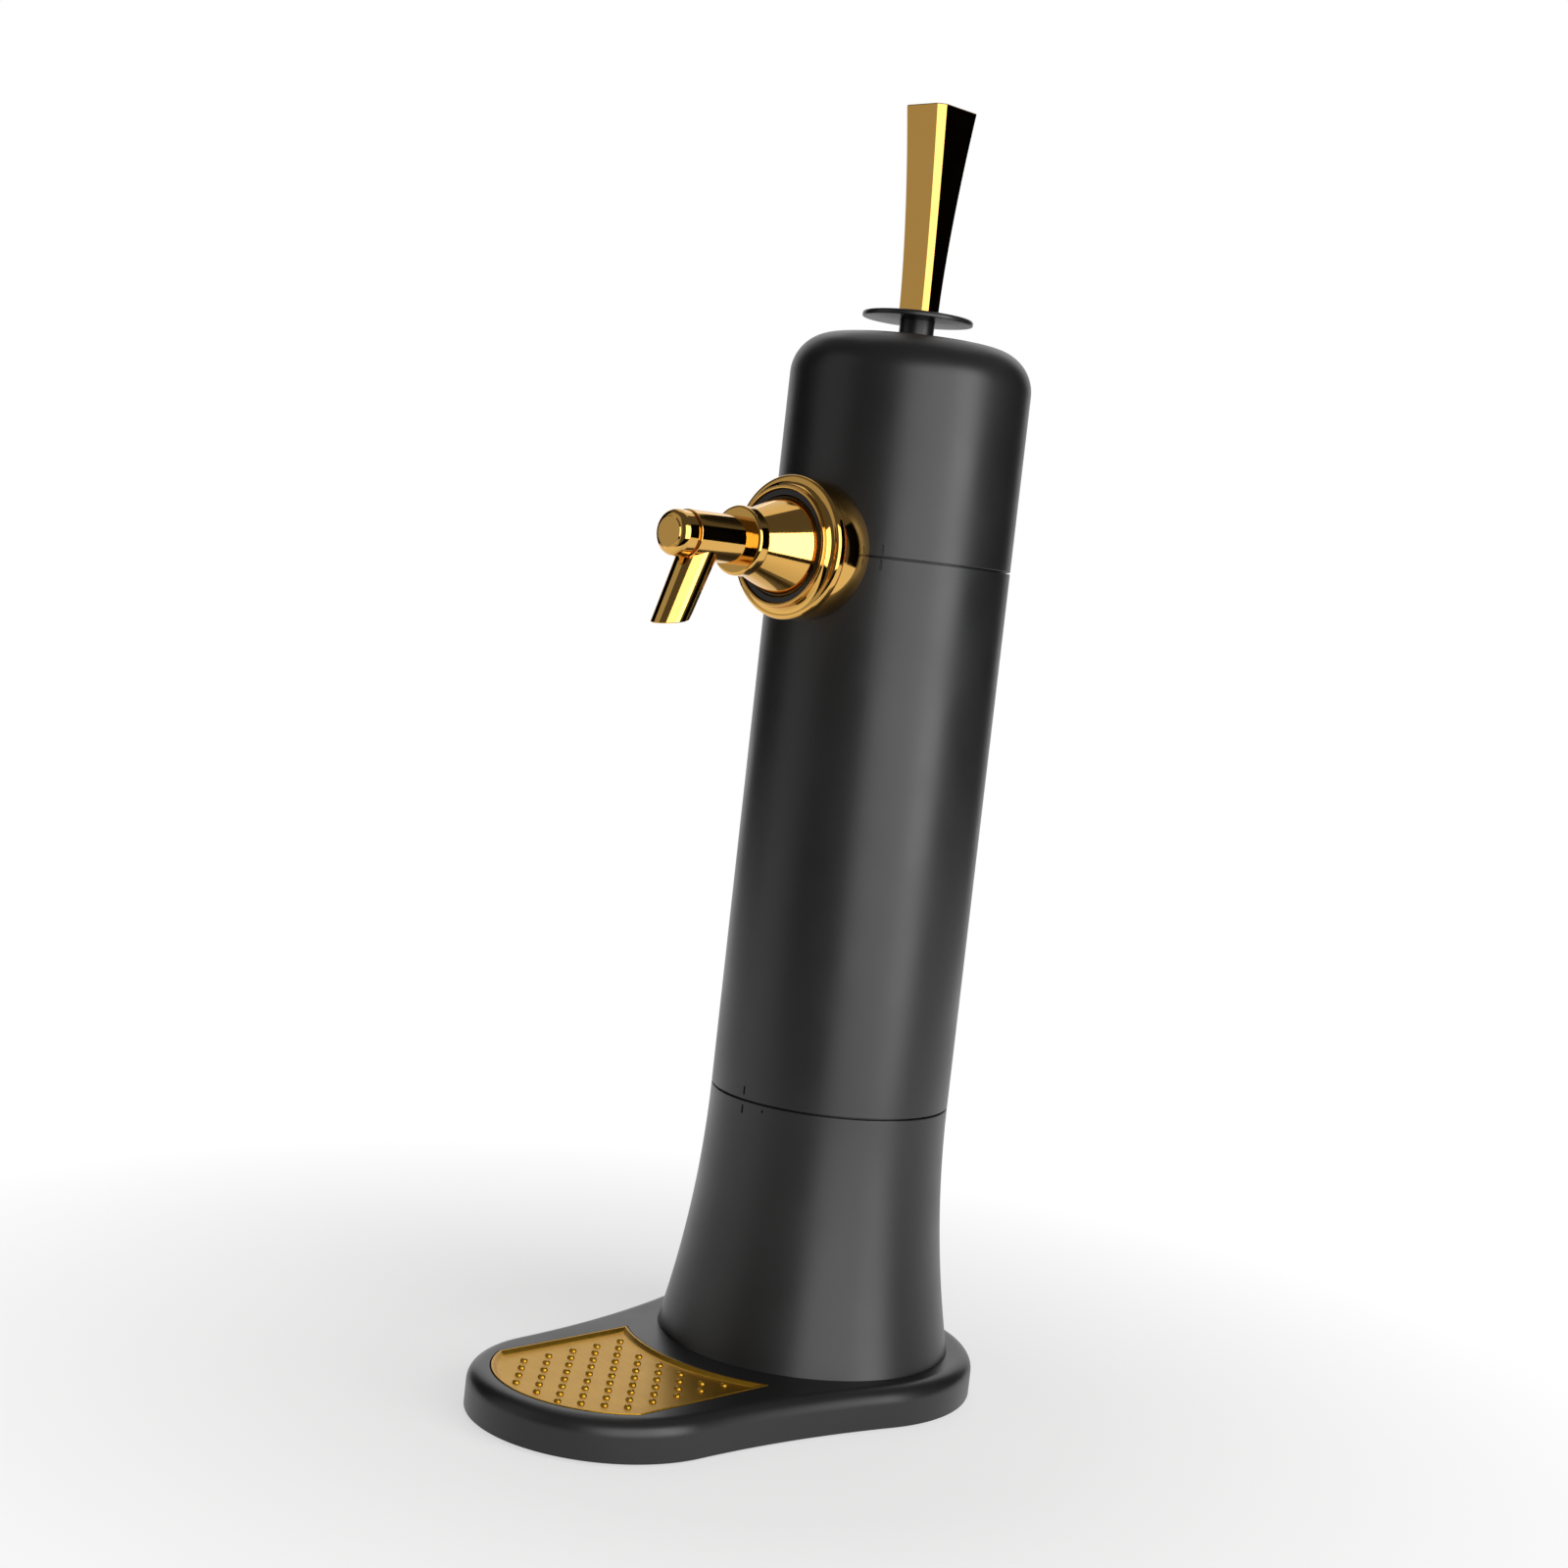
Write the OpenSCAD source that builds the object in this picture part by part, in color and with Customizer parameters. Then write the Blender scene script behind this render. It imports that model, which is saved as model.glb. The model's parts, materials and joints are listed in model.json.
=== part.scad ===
// Counter-top draft beer dispenser: a bottle tower on a two-lobed base, with a gold tap and lever.
// The tap faces -Y, the table is at z = 0 and the origin is the centre of the base on the table.

/* [Base] */
// Height of the moulded base above the soft pads
base_h = 14; // [12:0.5:20]
// Radius of the base's round end under the tower
back_r = 62.7; // [61:0.1:70]
// Radius of the base's round end under the glass
front_r = 47.8; // [45:0.1:54]
// Distance from the tower's axis to the middle of the front end
lobe_gap = 96; // [94:0.5:106]
// Radius of the hollow sides that join the two round ends
waist_r = 354; // [300:1:500]
// Radius of the base's rounded top edge
base_edge_r = 5.5; // [3:0.1:6]
// Wall of the moulded base
base_wall = 2.6; // [2:0.1:3]
// Thickness of the steel weight plate that closes the base
weight_t = 3; // [2:0.1:4]
// Diameter of one soft pad
pad_d = 15; // [10:0.5:18]
// How far the pads stand out below the base
pad_proud = 1.2; // [0.8:0.1:2]

/* [Drip tray] */
// Width of the gold tray between its straight sides
tray_w = 71; // [64:0.5:72]
// Radius of the tray's round front
tray_r = 40; // [38.5:0.1:40.4]
// Gap between the tower's foot and the tray
tray_foot_gap = 12.3; // [10:0.1:14]
// Thickness of the tray's floor
tray_t = 1; // [0.8:0.1:1.4]
// Height of the tray's rim above its floor
tray_rim_h = 1.4; // [1:0.1:1.8]
// Diameter of one raised stud that lifts the glass
stud_d = 2.6; // [2:0.1:3]
// Spacing of the studs along a row
stud_pitch = 10.4; // [9:0.1:13]
// Spacing of the rows of studs
row_pitch = 5.6; // [5:0.1:7]

/* [Tower] */
// Outer diameter of the tower
tower_d = 86; // [84:0.5:90]
// Wall of the tower's three sections
tower_wall = 2.5; // [2.2:0.1:2.8]
// Diameter of the flared foot where it meets the base
foot_d = 106.3; // [102:0.1:108]
// Height of the flared foot
foot_h = 89.7; // [84:0.1:96]
// Height of the middle barrel
barrel_h = 193.65; // [180:0.05:210]
// Height of the head, from its seam to its flat top
head_h = 77.6; // [76.5:0.1:84]
// Radius of the head's rounded top corner
cap_r = 15; // [12:0.5:16]
// Width of the seam between two sections
seam_gap = 0.5; // [0.3:0.1:0.8]
// Twist that unlocks a section, in degrees
twist = 12; // [10:0.5:15]

/* [Tap] */
// Radius of the domed seat on the tower
dome_r = 24.6; // [23.5:0.1:25.5]
// Radius of the tap's front flange
flange_r = 24.8; // [24:0.1:26]
// Large radius of the tap's cone
cone_r = 17.6; // [16:0.1:18.5]
// Small radius of the tap's cone
cone_tip_r = 10.5; // [9.5:0.1:11]
// Radius of the small collar in front of the cone
collar_r = 11.8; // [11.2:0.1:12.5]
// Radius of the horizontal spout body
body_r = 8.2; // [7.8:0.1:8.6]
// Distance from the tower's axis to the end of the spout body
tap_reach = 110.5; // [108:0.5:114]
// Outer diameter of the nozzle at its outlet
nozzle_d = 11.6; // [10.5:0.1:12.4]
// Lean of the nozzle from the vertical, in degrees
nozzle_lean = 22; // [16:0.5:26]
// Bore of the beer line
beer_bore = 5; // [4:0.1:5.4]

/* [Lever] */
// Height of the gold handle
handle_h = 72; // [60:1:90]
// Width of the handle at its foot
handle_w = 13.8; // [13:0.1:16]
// Depth of the handle at its foot
handle_d = 9; // [8.4:0.1:10]
// Width of the handle at its top
handle_top_w = 18.7; // [16:0.1:24]
// Depth of the handle at its top
handle_top_d = 21.2; // [18:0.1:26]
// Diameter of the round guard plate
guard_d = 39.4; // [36:0.1:42]
// Height of the guard plate above the head
guard_gap = 7.4; // [7:0.1:9]
// Diameter of the lever's neck
neck_d = 12.4; // [11:0.1:12.6]
// Tilt of the lever to either side of upright, in degrees
lever_tilt = 14; // [10:0.5:15]
// Depth of the lever's pivot below the top of the head
pivot_drop = 18; // [17:0.1:19]
// Radius of the pivot pin
pin_r = 2; // [1.8:0.1:2.2]

/* [Inside] */
// Height of the deck above the upper seam
deck_rise = 10.4; // [10.2:0.1:10.8]
// Radius of one battery cell
cell_r = 5.2; // [5:0.05:5.3]
// Length of one battery cell
cell_h = 44.5; // [43:0.5:45]
// Radius of the air pump's motor
motor_r = 9; // [8:0.1:10]
// Height of the air pump's motor
motor_h = 18; // [14:0.5:20]
// Length of the dip tube below the stopper
dip_h = 226; // [150:1:230]

/* [Hidden] */
$fn = 96;
fine = 144;
edge_fine = 48;
cut = 1;
fit = 0.3;
run_fit = 0.05;
base_z = pad_proud;
base_top = base_z + base_h;
lower_seam = base_top + foot_h;
upper_seam = lower_seam + barrel_h;
head_top = upper_seam + head_h;
tower_r = tower_d / 2;
bore_r = tower_r - tower_wall;
tower_y = (lobe_gap + front_r - back_r) / 2;
lobe_y = tower_y - lobe_gap;
waist_t = (pow(back_r + waist_r, 2) - pow(front_r + waist_r, 2) + pow(lobe_gap, 2)) / (2 * lobe_gap);
waist_x = sqrt(pow(back_r + waist_r, 2) - pow(waist_t, 2));
foot_flare = foot_d / 2 - tower_r;
flare_r = (pow(foot_h, 2) + pow(foot_flare, 2)) / (2 * foot_flare);
tray_back_r = foot_d / 2 + tray_foot_gap;
tray_fit = 0.4;
tray_rim_w = 1.6;
weight_z = base_z + 0.4;
weight_top = weight_z + weight_t;
shell_under = base_top - base_wall;
base_boss_r = 4;
screw_r = 1.5;
screw_head_r = 2.8;
screw_head_t = 1.4;
foot_boss_angles = [45, 135, 225, 315];
foot_boss_ring = foot_d / 2 - tower_wall - 5;
foot_boss_h = 12;
mat_r = 37;
mat_t = 2;
spigot_r = bore_r - fit;
spigot_wall = 2;
spigot_h = 12;
lug_t = 1.2;
lug_h = 3;
lug_angles = [90, 210, 330];
lug_half = 5;
lug_drop = 4;
tap_z = upper_seam;
hole_r = 8.2;
shank_r = 8;
deck_z = upper_seam + deck_rise;
deck_t = 2.5;
deck_top = deck_z + deck_t;
boss_r = 10;
stopper_h = 24;
stopper_top = upper_seam - 12;
air_y = 6;
air_r = 1.2;
pivot_z = head_top - pivot_drop;
guard_z = head_top + guard_gap;
guard_rim_t = 0.9;
guard_crown_t = 2.2;
handle_z = guard_z + guard_crown_t;
hub_w = 13;
cheek_x = hub_w / 2 + fit;
cheek_t = 2;
bracket_z = pivot_z - 27;
bracket_t = 2;
toggle_z = pivot_z - 17;
fork_drop = (pivot_z - toggle_z) / 2;
bat_r = 1;
bat_ball_r = 1.5;
nut_r = 11.6;
nut_h = 4;
washer_t = 1;
pad_depth = 4.2;
shank_start = spigot_r - pad_depth - washer_t - nut_h - 2.8;
barb_r = 3.6;
seal_t = 1.6;
seal_depth = 0.6;
post_x = 12;
cell_pitch = 2 * cell_r + 0.8;
cell_y = 24.6;
cell_z = deck_top + 3;
box_wall = 1.2;
box_half_w = 2 * cell_pitch + box_wall + 0.2;
cover_half_w = box_half_w + 0.8;
cover_z0 = deck_top + 1.2;
cover_z1 = cell_z + cell_h + 1.6;
pump_x = 24;
pump_y = -14;
pump_r = motor_r + 1.4;
pump_h = 12;
port_h = 8;
rotor_z = deck_top + 3;
rotor_t = 4;
rotor_r = 4.5;
rotor_shift = 1.4;
shaft_r = 1;
board_x = -24;
board_t = 1.6;
// Stations along the tap, counted from the tower's axis
flange_w = tower_r + 8;
flange_rim = 4;
cone_w = flange_w + flange_rim;
cone_h = 19.4;
collar_w = cone_w + cone_h;
collar_t = 5;
body_w = collar_w + collar_t;
nose_h = 7.5;

module at_tower(z = 0) { translate([0, tower_y, z]) children(); }
module at_tap() { translate([0, tower_y, tap_z]) rotate([90, 0, 0]) children(); }
module tube(r_out, r_in, h) {
    difference() {
        cylinder(r = r_out, h = h, $fn = fine);
        translate([0, 0, -cut]) cylinder(r = r_in, h = h + 2 * cut, $fn = fine);
    }
}
// A ring sector between two radii and two angles, counted from +X
module sector(r1, r2, h, a0, a1) {
    rotate([0, 0, a0]) rotate_extrude(angle = a1 - a0, $fn = fine)
        translate([r1, 0]) square([r2 - r1, h]);
}
// A round line from one point to another
module run(from, to, r) {
    d = to - from;
    turn = atan2(d[1], d[0]);
    lean = acos(d[2] / norm(d));
    translate(from) rotate([0, lean, turn]) cylinder(r = r, h = norm(d), $fn = 24);
}
// A flat slab with the outline of the base, drawn in by inset
module base_slab(inset, h) {
    at_tower() cylinder(r = back_r - inset, h = h, $fn = fine);
    translate([0, lobe_y, 0]) cylinder(r = front_r - inset, h = h, $fn = fine);
    difference() {
        at_tower() linear_extrude(h) polygon(waist_corners(inset));
        for (side = [-1, 1]) translate([side * waist_x, tower_y - waist_t, -cut])
            cylinder(r = waist_r + waist_bite + inset, h = h + 2 * cut, $fn = 2 * fine);
    }
}
// The four points where the hollow sides touch the two round ends
function waist_corners(inset) =
    let (back = (back_r - inset) / (back_r + waist_r),
        front = (front_r - inset) / (front_r + waist_r),
        bx = waist_x * back, by = -waist_t * back,
        fx = waist_x * front, fy = -lobe_gap - (waist_t - lobe_gap) * front)
    [[-bx, by], [bx, by], [fx, fy], [-fx, fy]];
// Half section of a round end with its rounded top edge
module lobe_section(r) {
    square([r - base_edge_r, base_h]);
    square([r, base_h - base_edge_r]);
    translate([r - base_edge_r, base_h - base_edge_r]) intersection() {
        circle(r = base_edge_r, $fn = edge_fine);
        square(base_edge_r);
    }
}
// Section of the cut that forms a hollow side with the same rounded edge
module waist_section() {
    r = waist_r + waist_bite;
    translate([r - 20, -cut]) square([20, base_h + 2 * cut]);
    difference() {
        translate([r - cut, base_h - base_edge_r]) square([base_edge_r + cut, base_edge_r + cut]);
        translate([r + base_edge_r, base_h - base_edge_r]) circle(r = base_edge_r, $fn = edge_fine);
    }
}
module base_block() {
    at_tower(base_z) rotate_extrude($fn = fine) lobe_section(back_r);
    translate([0, lobe_y, base_z]) rotate_extrude($fn = fine) lobe_section(front_r);
    difference() {
        at_tower(base_z) linear_extrude(base_h) polygon(waist_corners(0));
        for (side = [-1, 1]) {
            translate([side * waist_x, tower_y - waist_t, base_z])
                rotate_extrude($fn = 2 * fine) waist_section();
        }
    }
}
// Outline of the drip tray: a round front, straight sides and a hollow back round the foot
module tray_outline(inset = 0) {
    difference() {
        union() {
            intersection() {
                translate([0, lobe_y]) circle(r = tray_r - inset, $fn = fine);
                translate([0, lobe_y - tray_r / 2]) square([tray_w - 2 * inset, 2 * tray_r], center = true);
            }
            translate([0, lobe_y + tray_r / 2 + cut]) square([tray_w - 2 * inset, tray_r + 2 * cut], center = true);
        }
        translate([0, tower_y]) circle(r = tray_back_r + inset, $fn = fine);
    }
}
// The hollow sides bite this far into the round ends, so that the faces cross cleanly
waist_bite = 1;
back_pad_ring = back_r - pad_d / 2 - 5.2;
front_pad_ring = front_r - pad_d / 2 - 5.3;
back_screw_ring = back_r - base_wall - base_boss_r - 2.1;
front_screw_ring = front_r - base_wall - base_boss_r - 0.2;
pad_places = concat(
    [for (a = [40, 140, 220, 320]) back_pad_ring * [cos(a), sin(a)] + [0, tower_y]],
    [for (a = [230, 310]) front_pad_ring * [cos(a), sin(a)] + [0, lobe_y]]);
base_screw_places = concat(
    [for (a = [90, 180, 0]) back_screw_ring * [cos(a), sin(a)] + [0, tower_y]],
    [for (a = [185, 270, 355]) front_screw_ring * [cos(a), sin(a)] + [0, lobe_y]]);

module base_shell() {
    color("#262626") difference() {
        union() {
            difference() {
                base_block();
                translate([0, 0, base_z - cut]) base_slab(base_wall, base_h - base_wall + cut);
            }
            for (p = base_screw_places) translate([p[0], p[1], weight_top])
                cylinder(r = base_boss_r, h = shell_under - weight_top + cut);
            translate([0, 0, shell_under - tray_rim_h - cut])
                linear_extrude(tray_rim_h + 2 * cut) tray_outline(-2);
        }
        translate([0, 0, base_top - tray_rim_h - tray_t + 0.2])
            linear_extrude(tray_rim_h + tray_t + cut) tray_outline(-tray_fit);
        for (p = base_screw_places) translate([p[0], p[1], weight_z])
            cylinder(r = screw_r, h = 8);
        for (a = foot_boss_angles) at_tower(base_z)
            translate([foot_boss_ring * cos(a), foot_boss_ring * sin(a), 0])
                cylinder(r = screw_r + 0.2, h = base_h + cut);
    }
}
module weight_plate() {
    color("#8a8d90") difference() {
        translate([0, 0, weight_z]) base_slab(base_wall + fit, weight_t);
        for (p = base_screw_places) translate([p[0], p[1], base_z - cut]) {
            cylinder(r = screw_r + 0.2, h = weight_t + 3);
            cylinder(r = screw_head_r + 0.2, h = weight_z - base_z + cut + screw_head_t);
        }
    }
}
module rubber_pads() {
    color("#1b1b1b") for (p = pad_places) translate([p[0], p[1], 0]) {
        cylinder(d = pad_d, h = weight_z - 0.4);
        cylinder(d = pad_d - 1.6, h = weight_z);
    }
}
module base_screws() {
    color("#9a9a9a") for (p = base_screw_places) translate([p[0], p[1], weight_z]) difference() {
        union() {
            cylinder(r = screw_head_r, h = screw_head_t);
            cylinder(r = screw_r, h = 8);
        }
        translate([0, 0, -cut]) cylinder(r = 1.1, h = cut + 0.8, $fn = 6);
    }
}
module foot_screws() {
    color("#9a9a9a") for (a = foot_boss_angles) at_tower(shell_under - screw_head_t)
        translate([foot_boss_ring * cos(a), foot_boss_ring * sin(a), 0]) {
            cylinder(r = screw_head_r, h = screw_head_t);
            cylinder(r = screw_r, h = screw_head_t + base_wall + 8);
        }
}
module drip_tray() {
    seat_z = base_top - tray_rim_h - tray_t + 0.2;
    rows = floor((tray_r + lobe_gap - tray_back_r) / row_pitch);
    per_side = ceil(tray_w / stud_pitch / 2);
    color("#b98a1e") {
        translate([0, 0, seat_z]) linear_extrude(tray_t) tray_outline();
        translate([0, 0, seat_z]) linear_extrude(tray_t + tray_rim_h) difference() {
            tray_outline();
            tray_outline(tray_rim_w);
        }
        intersection() {
            for (row = [0:rows], col = [-per_side:per_side])
                translate([(col + ((row + 1) % 2) / 2) * stud_pitch,
                    lobe_y - tray_r + 2 + row * row_pitch, seat_z + tray_t - 0.2])
                    cylinder(d1 = stud_d, d2 = stud_d / 2, h = tray_rim_h, $fn = 16);
            translate([0, 0, seat_z]) linear_extrude(tray_rim_h + 2 * tray_t) tray_outline(3.6);
        }
    }
}
module bottle_mat() {
    color("#303030") at_tower(base_top) cylinder(r = mat_r, h = mat_t);
}
module tower_foot() {
    wall_top = lower_seam - seam_gap / 2;
    spigot_top = lower_seam + spigot_h;
    color("#262626") difference() {
        union() {
            at_tower() rotate_extrude($fn = fine) foot_section(wall_top);
            at_tower(lower_seam - 6) tube(spigot_r, spigot_r - spigot_wall, spigot_h + 6);
            at_tower(lower_seam - 6) tube(bore_r + 1, spigot_r - spigot_wall, 4);
            for (a = lug_angles) at_tower(spigot_top - lug_drop - lug_h)
                sector(spigot_r - 1, spigot_r + lug_t, lug_h, a - lug_half / 2, a + lug_half / 2);
            for (a = foot_boss_angles) at_tower(base_top)
                translate([foot_boss_ring * cos(a), foot_boss_ring * sin(a), 0])
                    cylinder(r = 4, h = foot_boss_h);
        }
        for (a = foot_boss_angles) at_tower(base_top - cut)
            translate([foot_boss_ring * cos(a), foot_boss_ring * sin(a), 0])
                cylinder(r = screw_r, h = 9 + cut);
        seal_groove(lower_seal_z);
        tick(-92.8, lower_seam - 1.8 - 3);
        tick(-80.6, lower_seam - 1.8 - 1, 1);
    }
}
// Half section of the flared wall: both faces are arcs about one centre beside the seam
module foot_section(wall_top) {
    difference() {
        translate([0, base_top]) square([foot_d / 2, wall_top - base_top]);
        translate([tower_r + flare_r, lower_seam]) circle(r = flare_r, $fn = 3 * fine);
        intersection() {
            translate([0, base_top - cut]) square([foot_d / 2, wall_top - base_top + 2 * cut]);
            difference() {
                square([foot_d, head_top]);
                translate([tower_r + flare_r, lower_seam]) circle(r = flare_r + tower_wall, $fn = 3 * fine);
            }
        }
    }
}
// A short upright alignment mark, cut into the tower at one angle
module tick(angle, z, h = 3) {
    at_tower(z) rotate([0, 0, angle]) translate([tower_r - 0.35, -0.3, 0]) cube([2, 0.6, h]);
}
module seal_ring(z) {
    at_tower(z) tube(bore_r - 0.1, spigot_r - seal_depth, seal_t);
}
module seal_groove(z) {
    at_tower(z) tube(bore_r + 0.2, spigot_r - seal_depth, seal_t);
}
lower_seal_z = lower_seam + 1.4;
upper_seal_z = upper_seam - spigot_h + 1;
module lower_seal() {
    color("#3a3a3a") seal_ring(lower_seal_z);
}
module barrel() {
    z0 = lower_seam + seam_gap / 2;
    z1 = upper_seam - seam_gap / 2;
    slot_h = lug_h + 2 * fit;
    slot_out = spigot_r + lug_t + fit;
    low_slot = lower_seam + spigot_h - lug_drop - lug_h - fit;
    high_slot = upper_seam - spigot_h + lug_drop - fit;
    color("#262626") {
        difference() {
            at_tower() rotate_extrude($fn = fine) difference() {
                translate([bore_r, z0]) square([tower_wall, z1 - z0]);
                for (z = [z0, z1]) translate([tower_r, z]) rotate(45) square(0.5, center = true);
                for (z = [low_slot, high_slot]) translate([bore_r - cut, z])
                    square([slot_out - bore_r + cut, slot_h]);
            }
            for (a = lug_angles) {
                at_tower(z0 - cut) rotate([0, 0, a - twist]) lug_entry(low_slot + slot_h / 2 - z0 + cut);
                at_tower(high_slot + slot_h / 2) rotate([0, 0, a + twist]) lug_entry(spigot_h);
            }
            at_tower(upper_seam - hole_r - fit)
                sector(bore_r - 3, tower_r + 3, hole_r + 2, -90 - notch_half, -90 + notch_half + twist);
            tick(-92.8, lower_seam + 1.8);
            tick(-52.9, upper_seam - 1.8 - 3);
        }
        for (a = lug_angles) {
            at_tower(low_slot - fit) rotate([0, 0, a + stop_turn]) lug_stop(slot_h + 2 * fit);
            at_tower(high_slot - fit) rotate([0, 0, a - stop_turn]) lug_stop(slot_h + 2 * fit);
        }
    }
}
stop_turn = 4.4;
// The upright slot through which a lug enters its groove
module lug_entry(h) {
    reach = spigot_r + lug_t + fit / 2 - bore_r + cut;
    translate([bore_r - cut, -2.3, 0]) cube([reach, 4.6, h]);
}
// The stud that stops a lug in its groove
module lug_stop(h) {
    translate([bore_r + 0.75, 0, 0]) cylinder(r = 0.6, h = h, $fn = 24);
}
notch_half = asin((hole_r + fit) / bore_r);
module upper_seal() {
    color("#3a3a3a") seal_ring(upper_seal_z);
}
module head_section(r, corner, z0, z1) {
    translate([0, z0]) square([r - corner, z1 - z0]);
    translate([0, z0]) square([r, z1 - corner - z0]);
    translate([r - corner, z1 - corner]) intersection() {
        circle(r = corner, $fn = edge_fine);
        square(corner);
    }
}
slot_half_y = pivot_drop * tan(lever_tilt) + neck_d / 2 / cos(lever_tilt) + 0.8;
module head_shell() {
    z0 = upper_seam + seam_gap / 2;
    color("#262626") difference() {
        at_tower() rotate_extrude($fn = fine) difference() {
            head_section(tower_r, cap_r, z0, head_top);
            head_section(bore_r, cap_r - tower_wall, z0 - cut, head_top - tower_wall);
            translate([tower_r, z0]) rotate(45) square(0.5, center = true);
        }
        at_tower(head_top) cube([neck_d + 1.2, 2 * slot_half_y, 4 * tower_wall], center = true);
        at_tower(cover_z0) translate([-cover_half_w, 0, 0])
            cube([2 * cover_half_w, tower_r + cut, cover_z1 - cover_z0]);
        at_tap() cylinder(r = hole_r, h = tower_d);
        tick(-52.9, upper_seam + 1.8);
    }
}
module battery_cover() {
    gap = 0.35;
    w = cover_half_w - gap;
    color("#262626") at_tower() {
        intersection() {
            translate([0, 0, cover_z0 + gap]) tube(tower_r, bore_r, cover_z1 - cover_z0 - 2 * gap);
            translate([-w, 0, cover_z0 + gap]) cube([2 * w, tower_d, cover_z1 - cover_z0 - 2 * gap]);
        }
        translate([-4, bore_r - 2.4, cover_z1 - gap - 7]) cube([8, 3.4, 6]);
    }
}
module chassis() {
    color("#4a4a48") difference() {
        union() {
            at_tower(deck_z) cylinder(r = bore_r, h = deck_t, $fn = fine);
            at_tower(upper_seam + 0.6) tube(bore_r, spigot_r - spigot_wall, deck_rise);
            at_tower(upper_seam - spigot_h) tube(spigot_r, spigot_r - spigot_wall, spigot_h + 1);
            for (a = lug_angles) at_tower(upper_seam - spigot_h + lug_drop)
                sector(spigot_r - 1, spigot_r + lug_t, lug_h, a - lug_half / 2, a + lug_half / 2);
            at_tower(stopper_top) cylinder(r = boss_r, h = deck_z - stopper_top + cut);
            at_tower(stopper_top - 10) cylinder(r = 6, h = 11);
            at_tap() translate([0, 0, boss_r - 2]) cylinder(r = barb_r, h = 8);
            intersection() {
                at_tower(upper_seam - spigot_h) cylinder(r = spigot_r, h = spigot_h + deck_rise);
                at_tower(upper_seam - spigot_h) translate([-14, -spigot_r - 1, 0])
                    cube([28, pad_depth + 1, spigot_h + deck_rise]);
            }
            for (side = [-1, 1]) at_tower(deck_top - cut) translate([side * post_x, 0, 0])
                cylinder(r = 3, h = bracket_z - deck_top + cut);
            at_tower(deck_top - cut) translate([board_x - 1.6, -16, 0]) cube([4.8, 32, 5]);
            at_tower(deck_top - cut) translate([0, air_y, 0]) cylinder(r = 2.2, h = 4);
        }
        seal_groove(upper_seal_z);
        at_tower(stopper_top - 11) cylinder(d = beer_bore, h = tap_z - stopper_top + 11);
        at_tap() cylinder(d = beer_bore - 0.6, h = boss_r + 10);
        at_tower(stopper_top - 11) translate([4.4, 0, 0]) cylinder(r = 0.6, h = 2);
        at_tower(tap_z + 4) translate([0, air_y, 0]) cylinder(r = air_r, h = 20);
        at_tap() translate([0, 0, shank_start]) cylinder(r = shank_r + run_fit, h = 20);
        for (side = [-1, 1]) at_tower(bracket_z - 10) translate([side * post_x, 0, 0])
            cylinder(r = 1.2, h = 12);
        at_tower(deck_top) translate([board_x, -14.2, 0]) cube([board_t, 28.4, 8]);
    }
}
module chassis_screws() {
    color("#9a9a9a") for (side = [-1, 1]) at_tower(bracket_z + bracket_t)
        translate([side * post_x, 0, 0]) {
            cylinder(r = 2.2, h = 1.2);
            translate([0, 0, -bracket_t - 8]) cylinder(r = 1.2, h = bracket_t + 8);
        }
}
module battery_box() {
    w = 2 * box_half_w;
    depth = 2 * cell_r + 1;
    color("#3c3c3c") at_tower(deck_top) translate([-box_half_w, cell_y - cell_r - 1 - box_wall, 0]) {
        difference() {
            cube([w, depth + box_wall - 2.4, cell_h + 6]);
            translate([box_wall, box_wall, 2]) cube([w - 2 * box_wall, depth + cut, cell_h + 2]);
        }
        for (i = [-1:1]) translate([box_half_w + i * cell_pitch - 0.2, 0, 0]) cube([0.4, 4, cell_h + 6]);
    }
}
module battery_cells() {
    for (i = [-1.5:1:1.5]) {
        flip = (i == -1.5 || i == 0.5) ? 1 : 0;
        at_tower(cell_z + flip * cell_h) translate([i * cell_pitch, cell_y, 0])
            rotate([180 * flip, 0, 0]) {
                color("#8c8f94") cylinder(r = cell_r, h = cell_h - 1);
                color("#c9c9c9") cylinder(r = 1.9, h = cell_h);
            }
    }
}
module battery_contacts() {
    color("#c8a050") for (z = [cell_z - 1, cell_z + cell_h]) at_tower(z)
        for (i = [-1, 1]) translate([i * cell_pitch - cell_pitch + 0.8, cell_y - 3, 0])
            cube([2 * cell_pitch - 1.6, 6, 1]);
}
module pump_housing() {
    color("#d8d8d4") at_tower(deck_top) translate([pump_x, pump_y, 0]) difference() {
        union() {
            cylinder(r = pump_r, h = pump_h);
            translate([-pump_r - 4, 0, port_h]) rotate([0, 90, 0]) cylinder(r = 1.6, h = 6);
        }
        translate([0, 0, 2]) cylinder(r = pump_r - 2, h = pump_h);
        translate([-pump_r - 5, 0, port_h]) rotate([0, 90, 0]) cylinder(r = 0.8, h = 8);
    }
}
module pump_motor() {
    color("#9c9fa3") at_tower(deck_top + pump_h) translate([pump_x, pump_y, 0]) difference() {
        union() {
            cylinder(r = pump_r, h = 1.2);
            cylinder(r = motor_r, h = motor_h);
            cylinder(r = 3, h = motor_h + 1.2);
        }
        translate([0, 0, -cut]) cylinder(r = shaft_r + run_fit, h = motor_h - 2 + cut);
    }
}
module pump_rotor() {
    color("#c0c0c0") at_tower(rotor_z) translate([pump_x, pump_y, 0]) {
        cylinder(r = shaft_r, h = deck_top + pump_h + motor_h - 4 - rotor_z);
        translate([rotor_shift, 0, 0]) cylinder(r = rotor_r, h = rotor_t);
    }
}
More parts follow.
